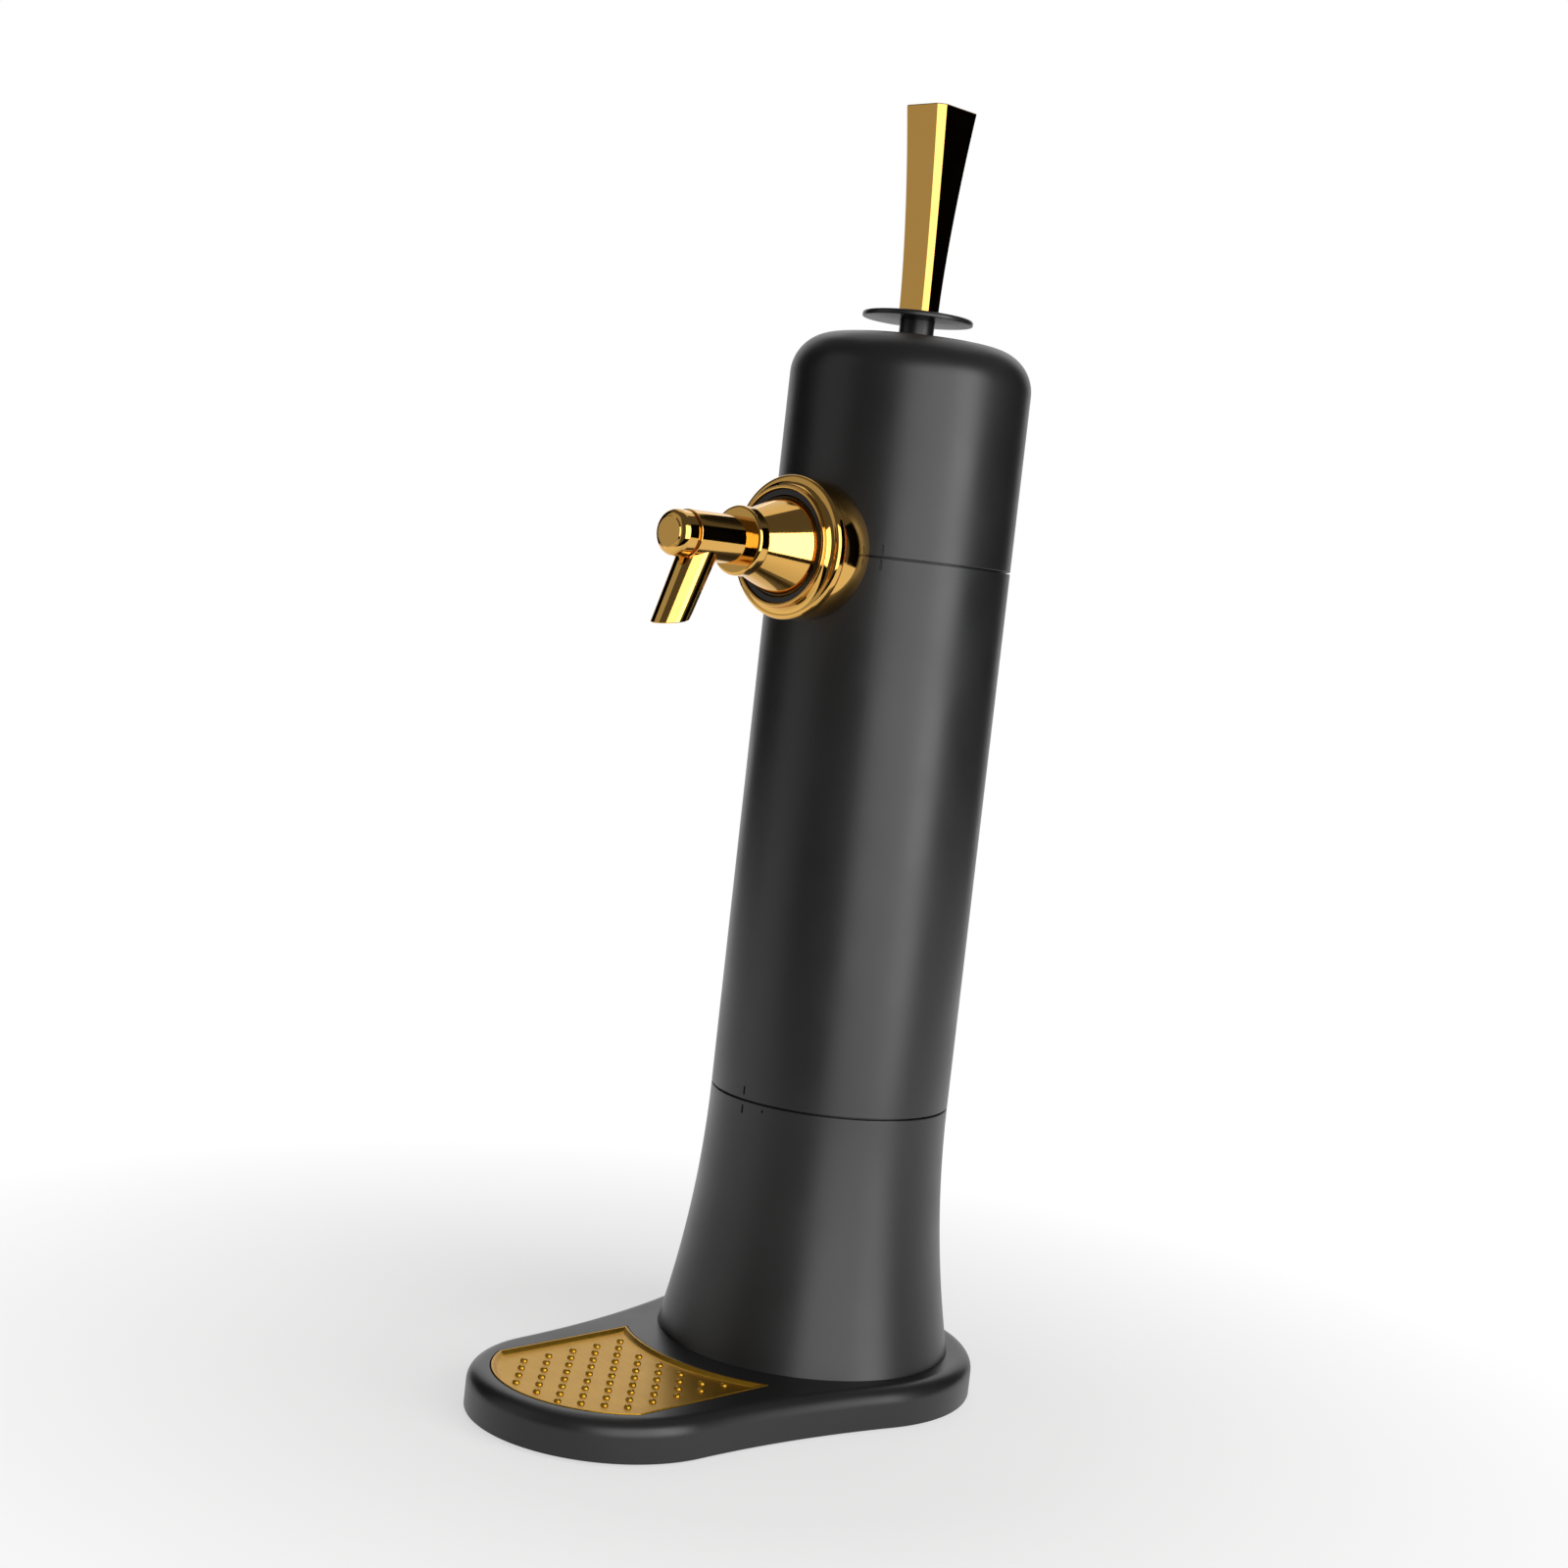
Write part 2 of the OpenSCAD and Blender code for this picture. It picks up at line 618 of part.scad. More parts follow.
module air_tube() {
    bend = 4;
    hose_r = 2.6;
    start = pump_x - pump_r - 1.5;
    color("#d9dcdd") at_tower(deck_top) difference() {
        union() {
            translate([bend, pump_y, port_h]) rotate([0, 90, 0]) cylinder(r = hose_r, h = start - bend);
            translate([bend, pump_y + bend, port_h]) rotate([0, 0, 180]) rotate_extrude(angle = 90)
                translate([bend, 0]) circle(r = hose_r, $fn = 32);
            translate([0, pump_y + bend, port_h]) rotate([-90, 0, 0])
                cylinder(r = hose_r, h = air_y - pump_y - 2 * bend);
            translate([0, air_y - bend, port_h - bend]) rotate([0, -90, 0]) rotate_extrude(angle = 90)
                translate([bend, 0]) circle(r = hose_r, $fn = 32);
            translate([0, air_y, 0.3]) cylinder(r = hose_r, h = port_h - bend - 0.3);
        }
        translate([0, air_y, -cut]) cylinder(r = 2.3, h = 4.1 + cut);
        translate([start - 2.7, pump_y, port_h]) rotate([0, 90, 0]) cylinder(r = 1.7, h = 8);
    }
}
module circuit_board() {
    at_tower(deck_top) translate([board_x, -14, 0]) {
        color("#1f5c3a") cube([board_t, 28, 34]);
        color("#222222") translate([-1.4, 8, 14]) cube([1.5, 9, 9]);
        color("#c9a050") translate([-3.2, 5, 26]) cube([3.3, 14, 5]);
        color("#222222") translate([board_t - 0.1, 5, 8]) cube([4, 6, 6]);
    }
}
module switch_body() {
    h = toggle_z - bracket_z - bracket_t + 2;
    color("#2c3f66") at_tower(bracket_z + bracket_t) difference() {
        translate([-6, -8, 0]) cube([12, 16, h]);
        translate([-2.4, -6.5, h - 5]) cube([4.8, 13, 6]);
        translate([-7, 0, h - 2]) rotate([0, 90, 0]) cylinder(r = 1 + run_fit, h = 14);
    }
}
module switch_toggle() {
    color("#d0d0d0") at_tower(toggle_z) {
        translate([-6, 0, 0]) rotate([0, 90, 0]) cylinder(r = 1, h = 12);
        translate([-2, 0, 0]) rotate([0, 90, 0]) cylinder(r = 2.2, h = 4);
        cylinder(r = bat_r, h = fork_drop);
        translate([0, 0, fork_drop]) sphere(r = bat_ball_r, $fn = 32);
    }
}
module pivot_bracket() {
    color("#a9adb0") at_tower(bracket_z) difference() {
        union() {
            translate([-post_x - 4, -9, 0]) cube([2 * post_x + 8, 18, bracket_t]);
            for (side = [-1, 1]) translate([side * (cheek_x + cheek_t / 2), 0, 0]) {
                translate([-cheek_t / 2, -7, 0]) cube([cheek_t, 14, pivot_z - bracket_z]);
                translate([-cheek_t / 2, 0, pivot_z - bracket_z]) rotate([0, 90, 0])
                    cylinder(r = 7, h = cheek_t);
            }
        }
        for (side = [-1, 1]) translate([side * post_x, 0, -cut]) cylinder(r = 1.3, h = 6);
        translate([-20, 0, pivot_z - bracket_z]) rotate([0, 90, 0]) cylinder(r = pin_r + 0.02, h = 40);
    }
}
module pivot_pin() {
    half = cheek_x + cheek_t + 0.8;
    color("#c4c6c8") at_tower(pivot_z) translate([-half, 0, 0]) rotate([0, 90, 0]) {
        cylinder(r = pin_r, h = 2 * half);
        translate([0, 0, -1.2]) cylinder(r = pin_r + 1.4, h = 2);
    }
}
module centring_spring() {
    color("#8f9296") at_tower(pivot_z) {
        translate([hub_w / 2 - 3.3, 0, 0]) rotate([0, 90, 0]) tube(4.2, pin_r + 0.4, 3.2);
        translate([hub_w / 2 - 1.6, 3.6, toggle_z + 2 - pivot_z])
            cylinder(r = 0.6, h = pivot_z - toggle_z - 2, $fn = 24);
    }
}
module lever_hub() {
    width = hub_w - 4;
    color("#b0b3b6") at_tower(pivot_z) difference() {
        union() {
            translate([-hub_w / 2, 0, 0]) rotate([0, 90, 0]) cylinder(r = 6, h = width);
            translate([-hub_w / 2, -4.2, 0]) cube([width, 8.4, 9]);
            translate([-neck_d / 2 + 1.6, -4.2, 6]) cube([neck_d - 3.2, 8.4, 5]);
            translate([-3, -3.4, -fork_drop - 1]) cube([6, 6.8, fork_drop - 3]);
        }
        translate([-hub_w, 0, 0]) rotate([0, 90, 0]) cylinder(r = pin_r + run_fit, h = 2 * hub_w);
        translate([-4, -bat_ball_r - 0.4, -fork_drop - 4]) cube([8, 2 * bat_ball_r + 0.8, 5.9]);
    }
}
module lever_neck() {
    color("#1d1d1d") at_tower(pivot_z + 11) {
        cylinder(d = neck_d, h = handle_z - pivot_z - 11);
        cylinder(r = 3, h = handle_z - pivot_z - 11 + 14);
    }
}
module guard_plate() {
    color("#222222") at_tower(guard_z) rotate_extrude($fn = fine) polygon([
        [neck_d / 2, 0], [guard_d / 2 - 0.5, 0], [guard_d / 2, 0.4], [guard_d / 2, guard_rim_t - 0.3],
        [guard_d / 2 - 1.2, guard_rim_t + 0.3], [guard_d / 3, guard_rim_t + 0.9],
        [neck_d / 2 + 0.8, guard_crown_t], [neck_d / 2, guard_crown_t]]);
}
// Half width of the handle at a share of its height: it spreads faster towards the top
function spread(foot, top, share) = (foot + (top - foot) * pow(share, 1.6)) / 2;
module handle_profile(foot, top) {
    shares = [for (i = [0:12]) i / 12];
    right = [for (s = shares) [spread(foot, top, s), s * handle_h]];
    left = [for (i = [12:-1:0]) [-spread(foot, top, shares[i]), shares[i] * handle_h]];
    polygon(concat(right, left));
}
module handle() {
    edge = 3.4;
    foot_diag = (handle_w + handle_d - edge) / sqrt(2);
    top_diag = (handle_top_w + handle_top_d - 1.4 * edge) / sqrt(2);
    color("#c9971e") at_tower(handle_z) difference() {
        intersection() {
            translate([0, 40, 0]) rotate([90, 0, 0]) linear_extrude(80) handle_profile(handle_w, handle_top_w);
            rotate([0, 0, 90]) translate([0, 40, 0]) rotate([90, 0, 0])
                linear_extrude(80) handle_profile(handle_d, handle_top_d);
            for (a = [45, -45]) rotate([0, 0, a]) translate([0, 40, 0]) rotate([90, 0, 0])
                linear_extrude(80) handle_profile(foot_diag, top_diag);
        }
        translate([0, 0, -cut]) cylinder(r = 3, h = 14 + cut);
    }
}
module stopper() {
    color("#9b9b98") at_tower(stopper_top - stopper_h) difference() {
        rotate_extrude() polygon([[0, 0], [8.5, 0], [9.2, 2], [9.2, 14], [10, 16], [13.5, 18],
            [13.5, stopper_h], [0, stopper_h]]);
        translate([0, 0, stopper_h - 10]) cylinder(r = 6, h = 10 + cut);
        translate([0, 0, -cut]) cylinder(r = 3, h = stopper_h);
    }
}
module dip_tube() {
    color("#dfe3e4") at_tower(stopper_top - stopper_h - dip_h) tube(3, beer_bore / 2 - 0.3, dip_h + 12);
}
module beer_tube() {
    color("#dfe3e4") at_tap() translate([0, 0, boss_r]) tube(4.8, barb_r, shank_start - boss_r);
}
module tap_shank() {
    color("#b98d24") at_tap() difference() {
        union() {
            translate([0, 0, shank_start - 6]) cylinder(r = barb_r, h = 8);
            translate([0, 0, shank_start]) cylinder(r = shank_r, h = cone_w + 3 - shank_start);
        }
        translate([0, 0, shank_start - 6 - cut]) cylinder(d = beer_bore, h = 60);
    }
}
module shank_nut() {
    color("#b0b3b6") at_tap() translate([0, 0, spigot_r - pad_depth - washer_t - nut_h]) difference() {
        cylinder(r = nut_r, h = nut_h, $fn = 6);
        translate([0, 0, -cut]) cylinder(r = shank_r, h = nut_h + 2 * cut);
    }
}
module shank_washer() {
    color("#2a2a2a") at_tap() translate([0, 0, spigot_r - pad_depth - washer_t]) difference() {
        cylinder(r = nut_r * cos(30), h = washer_t);
        translate([0, 0, -cut]) cylinder(r = shank_r, h = washer_t + 2 * cut);
    }
}
module tap_dome() {
    color("#b98a1e") at_tap() difference() {
        translate([0, 0, 47]) sphere(r = dome_r, $fn = fine);
        translate([0, 0, flange_w]) cylinder(r = 40, h = 40);
        rotate([90, 0, 0]) translate([0, 0, -60]) cylinder(r = tower_r + fit, h = 120, $fn = fine);
        translate([0, 0, 20]) cylinder(r = shank_r, h = 60);
    }
}
module tap_flange() {
    rim = flange_rim;
    lip = 20.8;
    color("#c9971e") at_tap() translate([0, 0, flange_w]) rotate_extrude($fn = fine) difference() {
        union() {
            translate([shank_r, 0]) square([flange_r - 1.4 - shank_r, rim]);
            translate([shank_r, 1.4]) square([flange_r - shank_r, rim - 2.8]);
            for (z = [1.4, rim - 1.4]) translate([flange_r - 1.4, z]) circle(r = 1.4, $fn = 32);
            translate([shank_r, 0]) square([lip + 2.4 - shank_r, rim + 2.4]);
            translate([shank_r, 0]) square([lip - shank_r, rim + 3.4]);
        }
        translate([lip + 2.4, rim + 2.4]) circle(r = 2.4, $fn = 48);
        translate([cone_r + 0.3, rim]) square([lip - cone_r - 1.5, 6]);
        translate([0, rim]) square([cone_r + 0.4, 6]);
    }
}
module tap_cone() {
    color("#c9971e") at_tap() translate([0, 0, cone_w]) difference() {
        union() {
            cylinder(r = cone_r, h = 1.4, $fn = fine);
            translate([0, 0, 1.4]) cylinder(r1 = cone_r, r2 = cone_tip_r, h = cone_h - 1.4, $fn = fine);
        }
        translate([0, 0, -cut]) cylinder(r = shank_r, h = 4);
        cylinder(d = beer_bore, h = 30);
    }
}
module tap_collar() {
    color("#c9971e") at_tap() translate([0, 0, collar_w]) difference() {
        rotate_extrude() {
            square([collar_r - 1, collar_t]);
            translate([0, 1]) square([collar_r, collar_t - 2]);
            for (z = [1, collar_t - 1]) translate([collar_r - 1, z]) circle(r = 1, $fn = 32);
        }
        translate([0, 0, -cut]) cylinder(d = beer_bore, h = 8);
    }
}
// The nozzle's axis leaves the spout body's axis this far from the tower
nozzle_w = tap_reach - 16.4;
nozzle_len = 31;
outlet_drop = 28.9;
module spout_body() {
    color("#c9971e") at_tap() difference() {
        union() {
            translate([0, 0, body_w]) cylinder(r = body_r, h = tap_reach - nose_h - body_w, $fn = fine);
            translate([0, 0, nozzle_w]) rotate([90 - nozzle_lean, 0, 0])
                cylinder(d1 = nozzle_d + 1.6, d2 = nozzle_d, h = nozzle_len + 4, $fn = fine);
        }
        translate([0, 0, body_w - cut]) cylinder(d = beer_bore, h = nozzle_w - body_w + cut);
        translate([0, 0, nozzle_w]) rotate([90 - nozzle_lean, 0, 0]) {
            cylinder(d = beer_bore - 0.6, h = 60);
            translate([0, 0, nozzle_len - 7]) cylinder(d1 = beer_bore, d2 = nozzle_d - 2.2, h = 4);
            translate([0, 0, nozzle_len - 3.05]) cylinder(d = nozzle_d - 2.2, h = 20);
        }
        translate([0, 0, tap_reach - nose_h]) cylinder(r = body_r, h = 2 * nose_h);
        translate([0, -outlet_drop, nozzle_w + 12]) rotate([10, 0, 0])
            translate([-20, -40, -30]) cube([40, 40, 60]);
    }
}
module nose_cap() {
    color("#c9971e") at_tap() translate([0, 0, tap_reach - nose_h]) {
        cylinder(r = body_r - 1.2, h = 1);
        translate([0, 0, 0.8]) rotate_extrude($fn = fine) {
            square([body_r - 3, 6.2]);
            square([body_r - 0.5, 3.6]);
            translate([body_r - 3, 3.6]) intersection() {
                circle(r = 2.5, $fn = 64);
                square(3);
            }
        }
        translate([0, 0, 6.9]) cylinder(r1 = body_r - 3, r2 = body_r - 3.4, h = 0.5);
    }
}
module wiring() {
    wire_r = 0.7;
    bend = 3;
    lead_y = 8 + bend;
    box_front = cell_y - cell_r - 1 - box_wall;
    color("#a03028") at_tower() {
        for (y = [-7, -5]) run([board_x + board_t + 3.9, y, deck_top + 11],
            [pump_x - motor_r + 0.2, pump_y + y + 6, deck_top + pump_h + 4], wire_r);
        for (z = [16, 19]) run([board_x + board_t, 9, deck_top + z],
            [-17, box_front, deck_top + z], wire_r);
        for (z = [26, 29]) translate([0, 0, deck_top + z]) {
            run([board_x + board_t, lead_y, 0], [-6, lead_y, 0], wire_r);
            translate([-6, lead_y - bend, 0]) rotate_extrude(angle = 90)
                translate([bend, 0]) circle(r = wire_r, $fn = 24);
        }
    }
}

weight_plate();
base_shell();
rubber_pads();
base_screws();
foot_screws();
drip_tray();
bottle_mat();
tower_foot();
lower_seal();
barrel();
upper_seal();
head_shell();
chassis();
chassis_screws();
battery_box();
battery_cells();
battery_contacts();
battery_cover();
pump_housing();
pump_motor();
pump_rotor();
air_tube();
circuit_board();
switch_body();
switch_toggle();
pivot_bracket();
pivot_pin();
centring_spring();
lever_hub();
lever_neck();
guard_plate();
handle();
stopper();
dip_tube();
beer_tube();
tap_shank();
shank_nut();
shank_washer();
tap_dome();
tap_flange();
tap_cone();
tap_collar();
spout_body();
nose_cap();
wiring();
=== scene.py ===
"""A counter-top draft dispenser, dressed for its picture. The table is at z = 0 and the tap faces -Y.

Lengths in the shape code are millimetres on the real object. The frame is in metres.
"""
import math

import bmesh
import bpy
from mathutils import Matrix, Vector
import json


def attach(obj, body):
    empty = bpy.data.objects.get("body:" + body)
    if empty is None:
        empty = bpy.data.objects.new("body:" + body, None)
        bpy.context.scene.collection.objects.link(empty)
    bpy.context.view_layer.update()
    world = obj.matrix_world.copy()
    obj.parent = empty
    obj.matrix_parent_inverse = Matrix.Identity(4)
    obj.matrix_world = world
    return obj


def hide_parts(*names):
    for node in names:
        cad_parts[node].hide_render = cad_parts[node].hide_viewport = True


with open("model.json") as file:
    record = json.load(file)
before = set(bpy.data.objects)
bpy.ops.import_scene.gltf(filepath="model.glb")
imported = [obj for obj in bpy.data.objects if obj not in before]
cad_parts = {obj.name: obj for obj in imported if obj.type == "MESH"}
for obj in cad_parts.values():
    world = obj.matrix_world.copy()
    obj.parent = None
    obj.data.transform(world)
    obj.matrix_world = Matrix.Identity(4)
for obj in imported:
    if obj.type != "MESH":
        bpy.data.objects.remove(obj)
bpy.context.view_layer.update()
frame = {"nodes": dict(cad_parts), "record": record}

# Camera: the lens, place and slant that put the tower's seams and the base where the photograph has them.
# The photograph leans by 6.4 degrees, so the camera rolls and the object stands upright.
CAMERA_PLACE = (0.5797, -0.6258, 0.2829)
CAMERA_SIDE = math.radians(41.02)
camera = bpy.data.objects.new("camera", bpy.data.cameras.new("camera"))
bpy.context.collection.objects.link(camera)
camera.data.lens = 56.44
camera.data.sensor_width = 36
camera.data.clip_start = 0.05
yaw, pitch, roll = -0.0327, 0.0771, 0.1114
around = Matrix.Rotation(CAMERA_SIDE, 3, "Z")
ahead = around @ Vector((math.sin(yaw) * math.cos(pitch), math.cos(yaw) * math.cos(pitch), -math.sin(pitch)))
level = around @ Vector((math.cos(yaw), -math.sin(yaw), 0))
upright = level.cross(ahead)
right = level * math.cos(roll) + upright * math.sin(roll)
top = upright * math.cos(roll) - level * math.sin(roll)
aim = Matrix((right, top, -ahead)).transposed().to_4x4()
camera.matrix_world = Matrix.Translation(CAMERA_PLACE) @ aim
bpy.context.scene.camera = camera
bpy.context.scene.view_settings.view_transform = "Standard"

# Table: one pale seamless sheet in matt white paint, laid flat and curved up behind the object.
# It keeps a soft shadow near the base, and turns into plain white away from it.
MM = 0.001
SHEET_FRONT, SHEET_BACK, SHEET_HALF, SHEET_BEND, SHEET_TOP = 0.32, 1.4, 1.5, 0.4, 1.6
SHADOW_NEAR, SHADOW_FAR = 0.12, 0.36


def linear(code):
    """A colour written as on a screen, turned into light."""
    parts = [int(code[i : i + 2], 16) / 255 for i in (1, 3, 5)]
    return tuple(c / 12.92 if c < 0.04045 else ((c + 0.055) / 1.055) ** 2.4 for c in parts) + (1.0,)


def add(tree, kind, inputs=(), **settings):
    """One shader node. Inputs are (name or number, value or the socket that feeds it)."""
    node = tree.nodes.new("ShaderNode" + kind)
    for key, value in settings.items():
        setattr(node, key, value)
    for key, value in inputs:
        if isinstance(value, bpy.types.NodeSocket):
            tree.links.new(value, node.inputs[key])
        else:
            node.inputs[key].default_value = value
    return node


def material(name):
    """An empty material and its tree, with the output and the object's own coordinates ready."""
    made = bpy.data.materials.new(name)
    made.use_nodes = True
    tree = made.node_tree
    tree.nodes.clear()
    return made, tree, add(tree, "OutputMaterial"), add(tree, "TexCoord").outputs["Object"]


def new_object(name, data):
    """An object in the scene, made from a mesh or a lamp."""
    made = bpy.data.objects.new(name, data)
    bpy.context.collection.objects.link(made)
    return made


# Matt paint put on with a roller: an even white without gloss, with a faint grain 3 mm across.
table_paint, tree, out, place = material("matt_white_table_paint")
grain = add(tree, "TexNoise", [("Vector", place), ("Scale", 1 / (3 * MM))]).outputs["Fac"]
bump = add(tree, "Bump", [("Height", grain), ("Strength", 0.1), ("Distance", 0.1 * MM)])
paint = add(tree, "BsdfDiffuse", [("Color", linear("#EDEDEC")), ("Normal", bump.outputs["Normal"])])
path = add(tree, "LightPath").outputs
seen = add(tree, "Math", [(0, path["Is Camera Ray"]), (1, path["Is Glossy Ray"])], operation="MAXIMUM")
seen = add(tree, "Math", [(0, seen.outputs[0]), (1, path["Is Transmission Ray"])], operation="MAXIMUM")
distance = add(tree, "VectorMath", [(0, place)], operation="LENGTH").outputs["Value"]
span = [("Value", distance), ("From Min", SHADOW_NEAR), ("From Max", SHADOW_FAR), ("To Min", 0.6)]
far = add(tree, "MapRange", span + [("To Max", 1.0)]).outputs["Result"]
share = add(tree, "Math", [(0, far), (1, seen.outputs[0])], operation="MULTIPLY")
white = add(tree, "Emission", [("Color", (1, 1, 1, 1)), ("Strength", 1.0)])
blend = add(tree, "MixShader", [(0, share.outputs[0]), (1, paint.outputs[0]), (2, white.outputs[0])])
tree.links.new(blend.outputs[0], out.inputs["Surface"])

quarter = [math.radians(9 * k) for k in range(11)]
rows = [(SHEET_FRONT, 0.0), (-SHEET_BACK, 0.0)]
for a in quarter[1:]:
    rows.append((-SHEET_BACK - SHEET_BEND * math.sin(a), SHEET_BEND - SHEET_BEND * math.cos(a)))
rows += [(-SHEET_BACK - SHEET_BEND, SHEET_TOP)]
facing = Matrix.Rotation(CAMERA_SIDE, 4, "Z")
sheet = bmesh.new()
last = None
for forward, height in rows:
    pair = [sheet.verts.new(facing @ Vector((x, -forward, height))) for x in (-SHEET_HALF, SHEET_HALF)]
    if last:
        sheet.faces.new((last[0], last[1], pair[1], pair[0]))
    last = pair
mesh = bpy.data.meshes.new("floor")
sheet.to_mesh(mesh)
sheet.free()
mesh.polygons.foreach_set("use_smooth", [True] * len(mesh.polygons))
mesh.materials.append(table_paint)
floor = new_object("floor", mesh)

# Light: a dim room with one broad soft window behind the camera and to its right, brighter at its far edge.
# The window draws the grey band down the tower and the yellow bands on the gold.
# A weak panel stands at the left, and a weak window hangs above and behind the tower.
TOWER_Y = 40.55
LAMPS_AIM_AT = 0.22
world = bpy.data.worlds.new("room")
bpy.context.scene.world = world
world.use_nodes = True
world.node_tree.nodes["Background"].inputs["Color"].default_value = (1, 1, 1, 1)
world.node_tree.nodes["Background"].inputs["Strength"].default_value = 0.11


def from_tower(polar, away, height):
    """A place round the tower, by its angle from +X in degrees, its distance and its height."""
    angle = math.radians(polar)
    return Vector((away * math.cos(angle), away * math.sin(angle) + TOWER_Y * MM, height))


def soft_window(name, polar, away, height, wide, tall, power):
    """A lamp that faces the tower."""
    lamp = bpy.data.lights.new(name, "AREA")
    lamp.shape = "RECTANGLE"
    lamp.size = wide
    lamp.size_y = tall
    lamp.energy = power
    made = new_object(name, lamp)
    made.location = from_tower(polar, away, height)
    middle = Vector((0, TOWER_Y * MM, LAMPS_AIM_AT))
    made.rotation_euler = (middle - made.location).to_track_quat("-Z", "Y").to_euler()


soft_window("window_right", polar=-16, away=1.2, height=0.42, wide=1.8, tall=1.3, power=20)
soft_window("window_right_edge", polar=9, away=1.25, height=0.42, wide=0.5, tall=1.3, power=4)
soft_window("panel_left", polar=-124, away=1.1, height=0.45, wide=0.75, tall=1.2, power=1.1)
soft_window("window_above", polar=131, away=0.9, height=1.6, wide=1.4, tall=1.4, power=5)

# Black cloth: one sheet under the table and two curtains, each folded once, hung beside the tower.
# It keeps the tower's edges and part of the gold dark, and shows in reflections only.
CLOTH_AWAY, CLOTH_LOW = 2.4, -0.45
CURTAIN_AWAY, CURTAIN_LOW, CURTAIN_HIGH = 1.35, -0.4, 1.2
CURTAINS = ((34, 66), (66, 98), (169, 192), (192, 216))

# Woven cotton dyed black: it has no gloss, and nearly no light comes back from it.
# The weave is drawn 1.2 mm wide, coarser than a real thread, so that it shows at this distance.
black_cloth, tree, out, place = material("black_woven_cloth")
weave = [("Vector", place), ("Scale", 1 / (1.2 * MM)), ("Detail", 3)]
weave = add(tree, "TexNoise", weave).outputs["Fac"]
tone = add(tree, "MixRGB", [("Fac", weave), ("Color1", linear("#040404")), ("Color2", linear("#080808"))])
black = add(tree, "BsdfDiffuse", [("Color", tone.outputs[0])])
clear = add(tree, "BsdfTransparent")
unseen = add(tree, "LightPath").outputs["Is Camera Ray"]
cloth = add(tree, "MixShader", [(0, unseen), (1, black.outputs[0]), (2, clear.outputs[0])])
tree.links.new(cloth.outputs[0], out.inputs["Surface"])

cards = bmesh.new()
below = [from_tower(polar, CLOTH_AWAY, CLOTH_LOW) for polar in (45, 135, 225, 315)]
cards.faces.new([cards.verts.new(spot) for spot in below])
for first, last in CURTAINS:
    low = [from_tower(polar, CURTAIN_AWAY, CURTAIN_LOW) for polar in (first, last)]
    high = [from_tower(polar, CURTAIN_AWAY, CURTAIN_HIGH) for polar in (last, first)]
    cards.faces.new([cards.verts.new(spot) for spot in low + high])
mesh = bpy.data.meshes.new("black_cards")
cards.to_mesh(mesh)
cards.free()
mesh.materials.append(black_cloth)
new_object("black_cards", mesh)

# Base: one ABS moulding with two round ends, hollow sides and a soft edge round its top.
# A shallow seat takes the drip tray, and the tower's foot is screwed to its round back end from below.
BASE_Z, BASE_TOP, BASE_EDGE, BASE_WALL = 1.2, 15.2, 5.5, 2.6
LOW_EDGE, LOW_EDGE_MID, SEAT_EDGE = 0.5, 0.15, 0.3
BACK_R, FRONT_R, WAIST_R, LOBES_APART = 62.7, 47.8, 354, 96
LOBE_Y = TOWER_Y - LOBES_APART
TRAY_W, TRAY_R, TRAY_BACK, TRAY_GAP, SEAT_Z = 71, 40, 65.45, 0.4, 12.98

# Black ABS from a finely spark eroded mould: satin, so its highlights are broad and soft edged.
# The mould's grain is drawn at 0.28 mm, coarser than the real one, so that it shows close up.
# Nearly all of a grain's values lie in GRAIN_SPAN, so each uneven gloss is drawn from that span.
GRAIN_SPAN = [("From Min", 0.3), ("From Max", 0.7)]
black_abs, tree, out, place = material("black_abs_satin_moulded")
fine = [("Vector", place), ("Scale", 1 / (0.28 * MM)), ("Detail", 3), ("Roughness", 0.6)]
fine = add(tree, "TexNoise", fine).outputs["Fac"]
cloud = add(tree, "TexNoise", [("Vector", place), ("Scale", 1 / (26 * MM))]).outputs["Fac"]
span = [("Value", cloud), *GRAIN_SPAN, ("To Min", 0.33), ("To Max", 0.39)]
rough = add(tree, "MapRange", span).outputs["Result"]
tone = add(tree, "MixRGB", [("Fac", cloud), ("Color1", linear("#191919")), ("Color2", linear("#1D1D1D"))])
bump = add(tree, "Bump", [("Height", fine), ("Strength", 0.12), ("Distance", 0.02 * MM)])
shell = [("Base Color", tone.outputs[0]), ("Roughness", rough), ("Normal", bump.outputs["Normal"])]
tree.links.new(add(tree, "BsdfPrincipled", shell).outputs[0], out.inputs["Surface"])


def solid(name, build, coat, body, replaced=(), crease=35):
    """A finished piece from a bmesh: smooth between soft edges, with its material and body."""
    bmesh.ops.remove_doubles(build, verts=build.verts, dist=1e-6)
    bmesh.ops.recalc_face_normals(build, faces=build.faces)
    mesh = bpy.data.meshes.new(name)
    build.to_mesh(mesh)
    build.free()
    mesh.polygons.foreach_set("use_smooth", [True] * len(mesh.polygons))
    mesh.set_sharp_from_angle(angle=math.radians(crease))
    mesh.materials.append(coat)
    made = new_object(name, mesh)
    made.modifiers.new("true_flats", "WEIGHTED_NORMAL").keep_sharp = True
    if replaced:
        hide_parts(*replaced)
    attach(made, body)


def arc(x, y, r, start, end, steps):
    """Points on an arc, each with the way out of the outline. A hollow arc's radius is negative."""
    turns = [start + (end - start) * k / steps for k in range(steps + 1)]
    return [(Vector((x, y)), r, Vector((math.cos(a), math.sin(a)))) for a in turns]


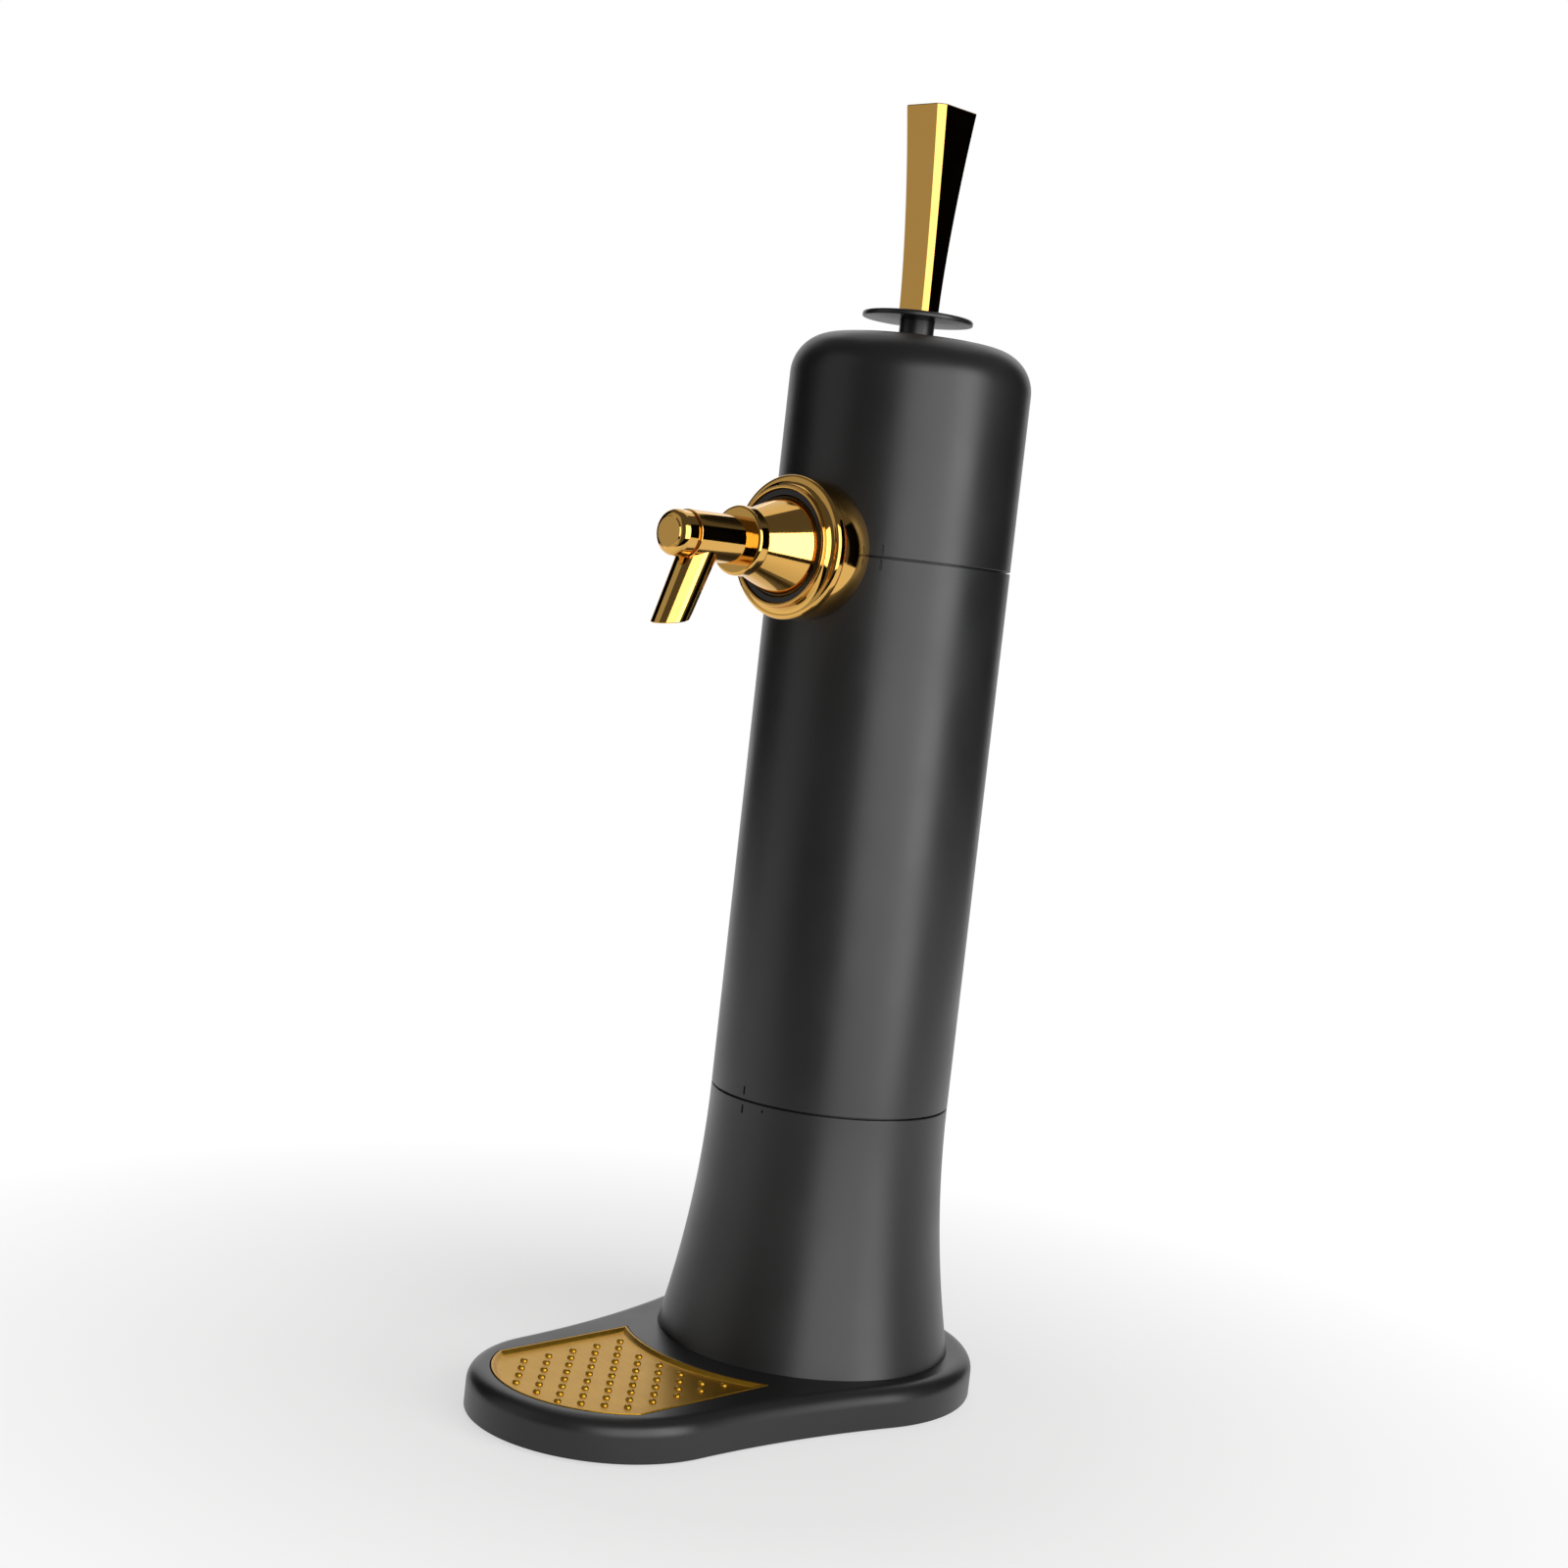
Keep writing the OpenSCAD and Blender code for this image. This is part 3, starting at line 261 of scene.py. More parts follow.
along = ((BACK_R + WAIST_R) ** 2 - (FRONT_R + WAIST_R) ** 2 + LOBES_APART**2) / (2 * LOBES_APART)
across = math.sqrt((BACK_R + WAIST_R) ** 2 - along**2)
back_turn = math.atan2(-along, across)
front_turn = math.atan2(LOBES_APART - along, across)
waist_y = TOWER_Y - along
outline = arc(0, TOWER_Y, BACK_R, back_turn, math.pi - back_turn, 96)
outline += arc(-across, waist_y, -WAIST_R, -back_turn, -front_turn, 30)[1:]
outline += arc(0, LOBE_Y, FRONT_R, math.pi - front_turn, math.tau + front_turn, 72)[1:]
outline += arc(across, waist_y, -WAIST_R, math.pi + front_turn, math.pi + back_turn, 30)[1:-1]


def base_ring(build, inset, z):
    """One ring of the base's outline, drawn in by inset."""
    spots = [c + n * (r - inset) if r > 0 else c + n * (-r + inset) for c, r, n in outline]
    return [build.verts.new((p.x * MM, p.y * MM, z * MM)) for p in spots]


def tray_ring(build, inset, z):
    """One ring of the tray's outline: round front, straight sides and a hollow back round the foot."""
    half = TRAY_W / 2 - inset
    r = TRAY_R - inset
    back = TRAY_BACK + inset
    front_end = math.acos(half / r)
    back_end = math.acos(half / back)
    turns = [math.pi + front_end + (math.pi - 2 * front_end) * k / 60 for k in range(61)]
    spots = [(r * math.cos(a), LOBE_Y + r * math.sin(a)) for a in turns]
    low = spots[-1][1]
    high = TOWER_Y - back * math.sin(back_end)
    side = [(half, low + (high - low) * k / 12) for k in range(1, 12)]
    turns = [-back_end - (math.pi - 2 * back_end) * k / 40 for k in range(41)]
    spots += side + [(back * math.cos(a), TOWER_Y + back * math.sin(a)) for a in turns]
    spots += [(-x, y) for x, y in reversed(side)]
    return [build.verts.new((x * MM, y * MM, z * MM)) for x, y in spots]


def strip(build, one, two):
    """Faces between two rings with the same count."""
    for j in range(len(one)):
        k = (j + 1) % len(one)
        build.faces.new((one[j], one[k], two[k], two[j]))


def loop_edges(build, ring):
    """The edges round a ring, made where they are missing."""
    return [build.edges.get((a, b)) or build.edges.new((a, b)) for a, b in zip(ring, ring[1:] + ring[:1])]


build = bmesh.new()
wall = [(BASE_WALL, BASE_TOP - BASE_WALL), (BASE_WALL, BASE_Z), (LOW_EDGE, BASE_Z)]
wall += [(LOW_EDGE_MID, BASE_Z + LOW_EDGE_MID), (0, BASE_Z + LOW_EDGE)]
wall += [(BASE_EDGE * (1 - math.cos(a)), BASE_TOP - BASE_EDGE * (1 - math.sin(a))) for a in quarter]
rings = [base_ring(build, inset, z) for inset, z in wall]
for one, two in zip(rings, rings[1:]):
    strip(build, one, two)
seat = [(SEAT_EDGE, BASE_TOP), (0.05, BASE_TOP - 0.08), (0, BASE_TOP - SEAT_EDGE), (0, SEAT_Z)]
seat = [tray_ring(build, -TRAY_GAP - lip, z) for lip, z in seat]
for one, two in zip(seat, seat[1:]):
    strip(build, one, two)
rims = loop_edges(build, rings[-1]) + loop_edges(build, seat[0])
bmesh.ops.triangle_fill(build, use_beauty=True, edges=rims)
build.faces.new(seat[-1])
build.faces.new(rings[0])
solid("base_moulding", build, black_abs, "base", ["base_shell"])

# Tower foot: an ABS trumpet, 106 mm wide on the base and 86 mm at the seam, on four screws from below.
# A thin collar stands up inside the seam and takes the barrel in a twist lock.
# The rims nearly meet inside the wall and stand 0.5 mm apart at its face, which draws the dark seam line.
TOWER_R, TOWER_WALL, LOWER, UPPER = 43, 2.5, 104.9, 298.55
SEAM_HALF, SEAM_IN, STEP_HALF, RIM_BREAK = 0.25, 41.6, 0.03, 0.3
FLARE_R, FLARE_TOP = 401.4, LOWER - 0.7
COLLAR_R, COLLAR_IN, COLLAR_FOOT, COLLAR_TOP = 40.2, 38.2, LOWER - 6, LOWER + 12
MARK_HALF, MARK_DEEP, MARK_TALL, MARK_GAP, DOT_TALL = 0.4, 0.6, 3, 1.8, 1
LOWER_MARK, LOWER_DOT = -92.8, -80.6
TOWER_FACETS = 192


def rounded(corners, steps=5, closed=False):
    """An outline whose corners carry a third number, the radius that rounds them."""
    points = []
    for i, corner in enumerate(corners):
        here = Vector(corner[:2])
        if len(corner) < 3 or (not closed and i in (0, len(corners) - 1)):
            points.append(here)
            continue
        before = (Vector(corners[i - 1][:2]) - here).normalized()
        after = (Vector(corners[(i + 1) % len(corners)][:2]) - here).normalized()
        half = before.angle(after) / 2
        centre = here + (before + after).normalized() * corner[2] / math.sin(half)
        start = here + before * corner[2] / math.tan(half) - centre
        end = here + after * corner[2] / math.tan(half) - centre
        points += [centre + start.lerp(end, k / steps).normalized() * corner[2] for k in range(steps + 1)]
    return points


def tower_spot(r, z, angle):
    """A point on the tower's round surfaces."""
    return Vector((r * math.cos(angle), TOWER_Y + r * math.sin(angle), z)) * MM


def revolve(profile, spot=tower_spot, count=TOWER_FACETS):
    """Turns a closed half section about an axis. Points on the axis become single vertices."""
    build = bmesh.new()
    rings = []
    for r, z in profile:
        if r < 1e-6:
            rings.append([build.verts.new(spot(0, z, 0))] * count)
        else:
            rings.append([build.verts.new(spot(r, z, math.tau * j / count)) for j in range(count)])
    for one, two in zip(rings, rings[1:] + rings[:1]):
        for j in range(count):
            k = (j + 1) % count
            corners = list(dict.fromkeys((one[j], one[k], two[k], two[j])))
            if len(corners) > 2:
                build.faces.new(corners)
    return build


def block(x0, x1, y0, y1, z0, z1, angle=0.0):
    """A box round the tower's axis, for cutting."""
    build = bmesh.new()
    bmesh.ops.create_cube(build, size=1)
    for v in build.verts:
        corner = (x0 if v.co.x < 0 else x1, y0 if v.co.y < 0 else y1, z0 if v.co.z < 0 else z1)
        v.co = Vector(corner) * MM
    turn = Matrix.Rotation(math.radians(angle), 3, "Z")
    bmesh.ops.rotate(build, verts=build.verts, cent=(0, 0, 0), matrix=turn)
    bmesh.ops.translate(build, verts=build.verts, vec=(0, TOWER_Y * MM, 0))
    return build


def carve(build, cutters):
    """Cuts closed shapes out of a closed shape and gives the rest."""
    things = []
    for part in [build] + cutters:
        bmesh.ops.recalc_face_normals(part, faces=part.faces)
        mesh = bpy.data.meshes.new("carving")
        part.to_mesh(mesh)
        part.free()
        things.append(new_object("carving", mesh))
    for tool in things[1:]:
        cut = things[0].modifiers.new("cut", "BOOLEAN")
        cut.object = tool
        cut.operation = "DIFFERENCE"
        cut.solver = "EXACT"
    result = bmesh.new()
    result.from_mesh(things[0].evaluated_get(bpy.context.evaluated_depsgraph_get()).to_mesh())
    for thing in things:
        old = thing.data
        bpy.data.objects.remove(thing)
        bpy.data.meshes.remove(old)
    return result


def mark(angle, z, tall=MARK_TALL, deep=MARK_DEEP):
    """The cutter for a short upright mark, which shows where a twist lock opens."""
    return block(TOWER_R - deep, TOWER_R + 2, -MARK_HALF, MARK_HALF, z, z + tall, angle)


def flare(z, wall=0.0):
    """Radius of the foot's outer face, or of its inner face for a wall."""
    return TOWER_R + FLARE_R - math.sqrt((FLARE_R + wall) ** 2 - (LOWER - z) ** 2)


heights = [BASE_TOP + (FLARE_TOP - BASE_TOP) * k / 44 for k in range(45)]
rim = LOWER - SEAM_HALF
step = LOWER - STEP_HALF
profile = [Vector((flare(z), z)) for z in heights]
edge = [(TOWER_R, LOWER - 0.6), (TOWER_R, rim, RIM_BREAK), (SEAM_IN, rim), (SEAM_IN, step)]
profile += rounded(edge + [(COLLAR_R, step)])
collar = [(COLLAR_R, LOWER + 0.1), (COLLAR_R, COLLAR_TOP, 0.5), (COLLAR_IN, COLLAR_TOP, 0.5)]
profile += rounded(collar + [(COLLAR_IN, COLLAR_FOOT)])
profile += [Vector((flare(z, TOWER_WALL), z)) for z in reversed(heights) if z < COLLAR_FOOT]
cutters = [mark(LOWER_MARK, LOWER - MARK_GAP - MARK_TALL)]
cutters += [mark(LOWER_DOT, LOWER - MARK_GAP - DOT_TALL, DOT_TALL)]
foot = carve(revolve(profile), cutters)
solid("tower_foot_moulding", foot, black_abs, "base", ["tower_foot"])

# Barrel: a plain 86 mm ABS tube round the bottle, held at both seams by twist locks.
# A notch in its top rim leaves room for the tap while the head turns.
BORE_R = TOWER_R - TOWER_WALL
UPPER_MARK, UPPER_GAP, UPPER_TALL, UPPER_DEEP = -52.9, 0.9, 3.4, 1.6
NOTCH_LEFT, NOTCH_RIGHT, NOTCH_DEEP, NOTCH_CUT_TOP = -11, 17, 8.5, 300
THROUGH_WALL = (30, 50)
low_rim = LOWER + SEAM_HALF
low_step = LOWER + STEP_HALF
high_rim = UPPER - SEAM_HALF
high_step = UPPER - STEP_HALF
profile = [(BORE_R, low_step), (SEAM_IN, low_step), (SEAM_IN, low_rim), (TOWER_R, low_rim, RIM_BREAK)]
profile += [(TOWER_R, high_rim, RIM_BREAK), (SEAM_IN, high_rim), (SEAM_IN, high_step), (BORE_R, high_step)]
cutters = [mark(LOWER_MARK, LOWER + MARK_GAP)]
cutters += [mark(UPPER_MARK, UPPER - UPPER_GAP - UPPER_TALL, UPPER_TALL, UPPER_DEEP)]
cutters += [block(*THROUGH_WALL, NOTCH_LEFT, NOTCH_RIGHT, UPPER - NOTCH_DEEP, NOTCH_CUT_TOP, -90)]
tube = carve(revolve(rounded(profile)), cutters)
solid("barrel_moulding", tube, black_abs, "barrel", ["barrel"])

# Head: an ABS cap with a 15 mm rolled corner that covers the pump, the cells and the lever's pivot.
# It twists onto the barrel, and is cut out for the tap in front, the cells behind and the lever on top.
HEAD_TOP, CORNER_R, TOP_RING_R = 376.15, 15, 12
SLOT_HALF_W, SLOT_HALF_L, TAP_HOLE_R = 6.8, 11.68, 8.3
THROUGH_TOP, HOLE_START, HOLE_END, DOOR_CUT_END = (370, 380), 20, 60, 50
DOOR_LOW, DOOR_HIGH, DOOR_HALF, DOOR_GAP = 313.0, 360.2, 24.25, 0.35


def tap_spot(r, w, angle):
    """A point round the tap's axis, w from the tower's axis."""
    return Vector((r * math.cos(angle), TOWER_Y - w, UPPER + r * math.sin(angle))) * MM


def rolled_corner(r, degrees, count):
    """The head's corner, from the flat top down to the wall."""
    turns = [math.radians(degrees * k) for k in range(count)]
    flat = TOWER_R - CORNER_R
    low = HEAD_TOP - CORNER_R
    return [Vector((flat + r * math.sin(a), low + r * math.cos(a))) for a in turns]


rim = UPPER + SEAM_HALF
step = UPPER + STEP_HALF
wall = [(BORE_R, step), (SEAM_IN, step), (SEAM_IN, rim), (TOWER_R, rim, RIM_BREAK)]
profile = rounded(wall + [(TOWER_R, HEAD_TOP - CORNER_R)])[:-1] + rolled_corner(CORNER_R, 3.6, 26)[::-1]
profile += [Vector((TOP_RING_R, HEAD_TOP)), Vector((0, HEAD_TOP)), Vector((0, HEAD_TOP - TOWER_WALL))]
profile += rolled_corner(CORNER_R - TOWER_WALL, 9, 11)
opening = DOOR_HALF + DOOR_GAP
cutters = [mark(UPPER_MARK, UPPER + UPPER_GAP, UPPER_TALL, UPPER_DEEP)]
cutters += [block(-SLOT_HALF_W, SLOT_HALF_W, -SLOT_HALF_L, SLOT_HALF_L, *THROUGH_TOP)]
cutters += [block(-opening, opening, 0, DOOR_CUT_END, DOOR_LOW - DOOR_GAP, DOOR_HIGH + DOOR_GAP)]
hole = [(0, HOLE_START), (TAP_HOLE_R, HOLE_START), (TAP_HOLE_R, HOLE_END), (0, HOLE_END)]
cutters += [revolve(hole, tap_spot, 64)]
cap = carve(revolve(profile), cutters)
solid("head_moulding", cap, black_abs, "head", ["head_shell"])

# Battery cover: a curved ABS door in the back of the head that pulls off for the cells.
# Five shallow grip grooves are moulded across it under its top edge.
GROOVES = (343, 345.6, 348.2, 350.8, 353.4)
GROOVE_HALF, GROOVE_TALL, GROOVE_DEEP = 9, 1.2, 0.55
CUT_FAR, CUT_BACK, CUT_LOW, CUT_HIGH = 60, 10, 300, 370
profile = [(BORE_R, DOOR_LOW, 0.3), (TOWER_R, DOOR_LOW, 0.5)]
profile += [(TOWER_R, DOOR_HIGH, 0.5), (BORE_R, DOOR_HIGH, 0.3)]
cutters = [block(-DOOR_HALF, -CUT_FAR, -CUT_FAR, CUT_FAR, CUT_LOW, CUT_HIGH)]
cutters += [block(DOOR_HALF, CUT_FAR, -CUT_FAR, CUT_FAR, CUT_LOW, CUT_HIGH)]
cutters += [block(-CUT_FAR, CUT_FAR, -CUT_FAR, CUT_BACK, CUT_LOW, CUT_HIGH)]
for z in GROOVES:
    bottom = TOWER_R - GROOVE_DEEP
    cutters.append(block(-GROOVE_HALF, GROOVE_HALF, bottom, DOOR_CUT_END, z, z + GROOVE_TALL))
door = carve(revolve(rounded(profile, 4, True)), cutters)
solid("battery_door", door, black_abs, "cover", ["battery_cover"])

# Drip tray: a pressed sheet metal plate in satin gold, with a bevelled rim and staggered round studs.
# The studs keep its load dry. It lies loose in its seat and lifts out for rinsing.
PLATE_Z, STUD_R, STUD_TALL = 13.9, 1.3, 1.2
STUD_ROWS, STUDS_EACH_SIDE, STUD_ROWS_APART, STUDS_APART = 13, 4, 5.6, 10.4
STUDS_SIDE, STUDS_FRONT, STUDS_BACK = 30.6, 35, 70.4

# A satin gold coat over brushed sheet metal: a flat, darker gold with faint lines across the tray.
# The brush lines are drawn at 6 by 0.5 mm, coarser than the real ones, so that they show.
gold_satin, tree, out, place = material("gold_satin_pressed_plate")
stretched = add(tree, "Mapping", [("Vector", place), ("Scale", (1.0, 12.0, 1.0))]).outputs[0]
lines = [("Vector", stretched), ("Scale", 1 / (6 * MM)), ("Detail", 4), ("Roughness", 0.7)]
lines = add(tree, "TexNoise", lines).outputs["Fac"]
cloud = add(tree, "TexNoise", [("Vector", place), ("Scale", 1 / (12 * MM))]).outputs["Fac"]
tone = add(tree, "MixRGB", [("Fac", cloud), ("Color1", linear("#B98A24")), ("Color2", linear("#C79A34"))])
span = [("Value", lines), *GRAIN_SPAN, ("To Min", 0.34), ("To Max", 0.46)]
rough = add(tree, "MapRange", span).outputs["Result"]
bump = add(tree, "Bump", [("Height", lines), ("Strength", 0.15), ("Distance", 0.03 * MM)])
plate = [("Base Color", tone.outputs[0]), ("Metallic", 1.0), ("Roughness", rough)]
plate += [("Normal", bump.outputs["Normal"])]
tree.links.new(add(tree, "BsdfPrincipled", plate).outputs[0], out.inputs["Surface"])

build = bmesh.new()
rim = [(0.25, 13.0), (0, 13.25), (0, 15.1), (0.1, 15.3), (0.3, 15.4), (0.8, 15.36), (1.6, 14.6), (2.2, 14.1)]
rings = [tray_ring(build, inset, z) for inset, z in rim + [(2.6, 14.0)]]
for one, two in zip(rings, rings[1:]):
    strip(build, one, two)
build.faces.new(rings[0])
build.faces.new(rings[-1])


def stud(build, x, y):
    """A round stud pressed up out of the plate."""
    turns = [math.tau * j / 20 for j in range(20)]
    rings = []
    for k in range(5):
        rise = math.radians(18 * k)
        r = STUD_R * math.cos(rise)
        z = PLATE_Z + STUD_TALL * math.sin(rise)
        spots = [Vector((x + r * math.cos(a), y + r * math.sin(a), z)) for a in turns]
        rings.append([build.verts.new(p * MM) for p in spots])
    for one, two in zip(rings, rings[1:]):
        strip(build, one, two)
    build.faces.new(rings[-1])
    build.faces.new(rings[0])


for row in range(STUD_ROWS):
    y = LOBE_Y - TRAY_R + 2 + STUD_ROWS_APART * row
    for column in range(-STUDS_EACH_SIDE, STUDS_EACH_SIDE + 1):
        x = (column + ((row + 1) % 2) / 2) * STUDS_APART
        on_plate = abs(x) < STUDS_SIDE and (math.hypot(x, y - LOBE_Y) < STUDS_FRONT or y > LOBE_Y)
        if on_plate and math.hypot(x, y - TOWER_Y) >= STUDS_BACK:
            stud(build, x, y)
solid("drip_tray_plate", build, gold_satin, "tray", ["drip_tray"])

# Tap seat: a turned brass ball of 49 mm, hollowed at the back to sit on the round tower.
# The tap's pieces share one threaded shank, and a nut inside the head pulls them home.
DOME_R, DOME_W, FIT_R, SHANK_R, FLANGE_W = 24.6, 47, 43.3, 8.1, 51
TAP_FACETS = 160

# Polished gold plating on turned brass: mirror bright, so it shows the room in hard bands.
# The polishing marks are drawn at 0.7 mm, coarser than the real ones, and only just break the bands.
gold_plate, tree, out, place = material("gold_plate_polished")
marks = [("Vector", place), ("Scale", 1 / (0.7 * MM)), ("Detail", 3), ("Roughness", 0.6)]
marks = add(tree, "TexNoise", marks).outputs["Fac"]
cloud = add(tree, "TexNoise", [("Vector", place), ("Scale", 1 / (9 * MM))]).outputs["Fac"]
tone = add(tree, "MixRGB", [("Fac", cloud), ("Color1", linear("#DEA956")), ("Color2", linear("#DAAD5E"))])
span = [("Value", cloud), *GRAIN_SPAN, ("To Min", 0.06), ("To Max", 0.09)]
rough = add(tree, "MapRange", span).outputs["Result"]
bump = add(tree, "Bump", [("Height", marks), ("Strength", 0.05), ("Distance", 0.02 * MM)])
plate = [("Base Color", tone.outputs[0]), ("Metallic", 1.0), ("Roughness", rough)]
plate += [("Normal", bump.outputs["Normal"])]
tree.links.new(add(tree, "BsdfPrincipled", plate).outputs[0], out.inputs["Surface"])


def dome_edge(angle):
    """How far round the ball its back edge lies, where it meets the tower."""
    low = math.radians(60)
    high = math.radians(120)
    for _ in range(40):
        mid = (low + high) / 2
        reach = math.hypot(DOME_R * math.sin(mid) * math.cos(angle), DOME_W + DOME_R * math.cos(mid))
        low, high = (mid, high) if reach > FIT_R else (low, mid)
    return low


build = bmesh.new()
rings = []
front = math.acos((FLANGE_W - DOME_W) / DOME_R)
turns = [math.tau * j / TAP_FACETS for j in range(TAP_FACETS)]
backs = [dome_edge(a) for a in turns]
for k in range(13):
    spans = [front + (end - front) * k / 12 for end in backs]
    spots = [tap_spot(DOME_R * math.sin(s), DOME_W + DOME_R * math.cos(s), a) for s, a in zip(spans, turns)]
    rings.append([build.verts.new(p) for p in spots])
for k in range(1, 5):
    radii = [DOME_R * math.sin(end) + (SHANK_R - DOME_R * math.sin(end)) * k / 4 for end in backs]
    spots = [tap_spot(r, math.sqrt(FIT_R**2 - (r * math.cos(a)) ** 2), a) for r, a in zip(radii, turns)]
    rings.append([build.verts.new(p) for p in spots])
rings.append([build.verts.new(tap_spot(SHANK_R, FLANGE_W, a)) for a in turns])
for one, two in zip(rings, rings[1:] + rings[:1]):
    strip(build, one, two)
solid("tap_seat", build, gold_plate, "head", ["tap_dome"])

# Flange: a turned brass ring with a round rim, a cove and a raised lip round a recess.
# It is clamped on the shank and hides the joint between the ball and the cone.
FLANGE_R, LIP_R, LIP_IN, LIP_W, CONE_W = 24.8, 20.8, 19.6, 58.4, 55
COVE_R, COVE_AT_R, COVE_AT_W = 2.4, 23.2, 57.4


def turned(name, corners, replaced):
    """A turned piece of the tap from its closed half section."""
    build = revolve(rounded(corners, 5, True), tap_spot, TAP_FACETS)
    solid(name, build, gold_plate, "head", replaced)


flange = [(SHANK_R, FLANGE_W), (FLANGE_R, FLANGE_W, 1.3), (FLANGE_R, CONE_W, 1.3)]
flange += [(COVE_AT_R - COVE_R * math.sin(a), COVE_AT_W - COVE_R * math.cos(a)) for a in quarter]
flange += [(LIP_R, LIP_W, 0.4), (LIP_IN, LIP_W, 0.4), (LIP_IN, CONE_W), (SHANK_R, CONE_W)]
turned("tap_flange_ring", flange, ["tap_flange"])

# Cone: turned brass with a short straight land at its wide end, gold plated and threaded on the shank.
# It tapers to the collar that locks the spout.
CHANNEL_R, CONE_R, LAND_W, NECK_W, NECK_R = 2.5, 17.6, 56.4, 74.4, 10.5
cone = [(CHANNEL_R, CONE_W), (CONE_R, CONE_W, 0.3), (CONE_R, LAND_W, 0.6)]
cone += [(NECK_R, NECK_W, 0.3), (CHANNEL_R, NECK_W)]
turned("tap_cone_body", cone, ["tap_cone"])

# Collar: a turned brass ring with both edges rounded, screwed down between the cone and the spout.
# Its bright edges catch the window.
LOCK_R, LOCK_W = 11.8, 79.4
collar = [(CHANNEL_R, NECK_W), (LOCK_R, NECK_W, 1.1), (LOCK_R, LOCK_W, 1.1), (CHANNEL_R, LOCK_W)]
turned("tap_collar_ring", collar, ["tap_collar"])

# Recess ring: a black ABS ring pressed in between the cone and the flange's lip, as painted shade.
# It stands for the shade down in the recess and draws the dark line round the cone.
RING_GAP, RING_FACE_IN, RING_FACE_W = 0.05, 17.3, 57.5
ring_in = CONE_R + RING_GAP
ring_out = LIP_IN - RING_GAP
ring = [(ring_in, CONE_W + RING_GAP), (ring_out, CONE_W + RING_GAP), (ring_out, RING_FACE_W, 0.3)]
ring += [(RING_FACE_IN, RING_FACE_W, 0.3), (ring_in, LAND_W)]
ring = revolve(rounded(ring, 4, True), tap_spot, TAP_FACETS)
solid("tap_recess_shade_ring", ring, black_abs, "head")

# Nose cap: a rounded brass plug that closes the spout behind a narrow slit, with a flat disc on its face.
# It is pressed in after the channel is drilled.
SPOUT_END, SLIT_R, SLIT_END, NOSE_R, NOSE_END, DISC_R, DISC_TALL = 103, 7, 103.8, 7.7, 110, 5.3, 0.45
CENTRE_R = 0.01
nose = [(CENTRE_R, SPOUT_END), (SLIT_R, SPOUT_END), (SLIT_R, SLIT_END), (NOSE_R, SLIT_END, 0.25)]
nose += [(NOSE_R, NOSE_END, 2.5), (DISC_R, NOSE_END, 0.15)]
nose += [(DISC_R - 0.2, NOSE_END + DISC_TALL, 0.2), (CENTRE_R, NOSE_END + DISC_TALL)]
turned("tap_nose", nose, ["nose_cap"])

# Spout: a straight turned body with the nozzle brazed under it, leaning 22 degrees forward.
# The outlet is cut 10 degrees off level and shows the thin wall of the tube.
SPOUT_R, NOZZLE_W, OUTLET_W, OUTLET_DROP = 8.2, 94.1, 106.1, 28.9
TUBE_END, TUBE_CUT = 40, 28.5
lean = math.radians(22)
tilt = math.radians(10)
tube_start = Vector((0, TOWER_Y - NOZZLE_W, UPPER))
down = Vector((0, -math.sin(lean), -math.cos(lean)))
aside = Vector((0, math.cos(lean), -math.sin(lean)))
outlet = Vector((0, TOWER_Y - OUTLET_W, UPPER - OUTLET_DROP))
outlet_face = Vector((0, -math.sin(tilt), math.cos(tilt)))


def nozzle_spot(r, t, angle):
    """A point on the nozzle, t down its axis. Past the cut, t is counted from the slanted outlet."""
    spoke = Vector((r * math.cos(angle), 0, 0)) + aside * r * math.sin(angle)
    if t > TUBE_CUT:
        t = (outlet - tube_start - spoke).dot(outlet_face) / down.dot(outlet_face) + (t - TUBE_END)
    return (tube_start + spoke + down * t) * MM


spout = [(CHANNEL_R, LOCK_W), (SPOUT_R, LOCK_W), (SPOUT_R, SPOUT_END, 0.3), (CHANNEL_R, SPOUT_END)]
build = revolve(rounded(spout, 4, True), tap_spot, 128)
tube = [(6.5, 4), (6.0, 26), (5.85, 39.7), (5.6, TUBE_END), (4.8, TUBE_END), (4.7, 39.8)]
tube += [(4.7, 28), (2.2, 24), (2.2, 4)]
nozzle = revolve([Vector(p) for p in tube], nozzle_spot, 96)
spare = bpy.data.meshes.new("spare")
nozzle.to_mesh(spare)
nozzle.free()
build.from_mesh(spare)
bpy.data.meshes.remove(spare)
solid("tap_spout", build, gold_plate, "head", ["spout_body"])

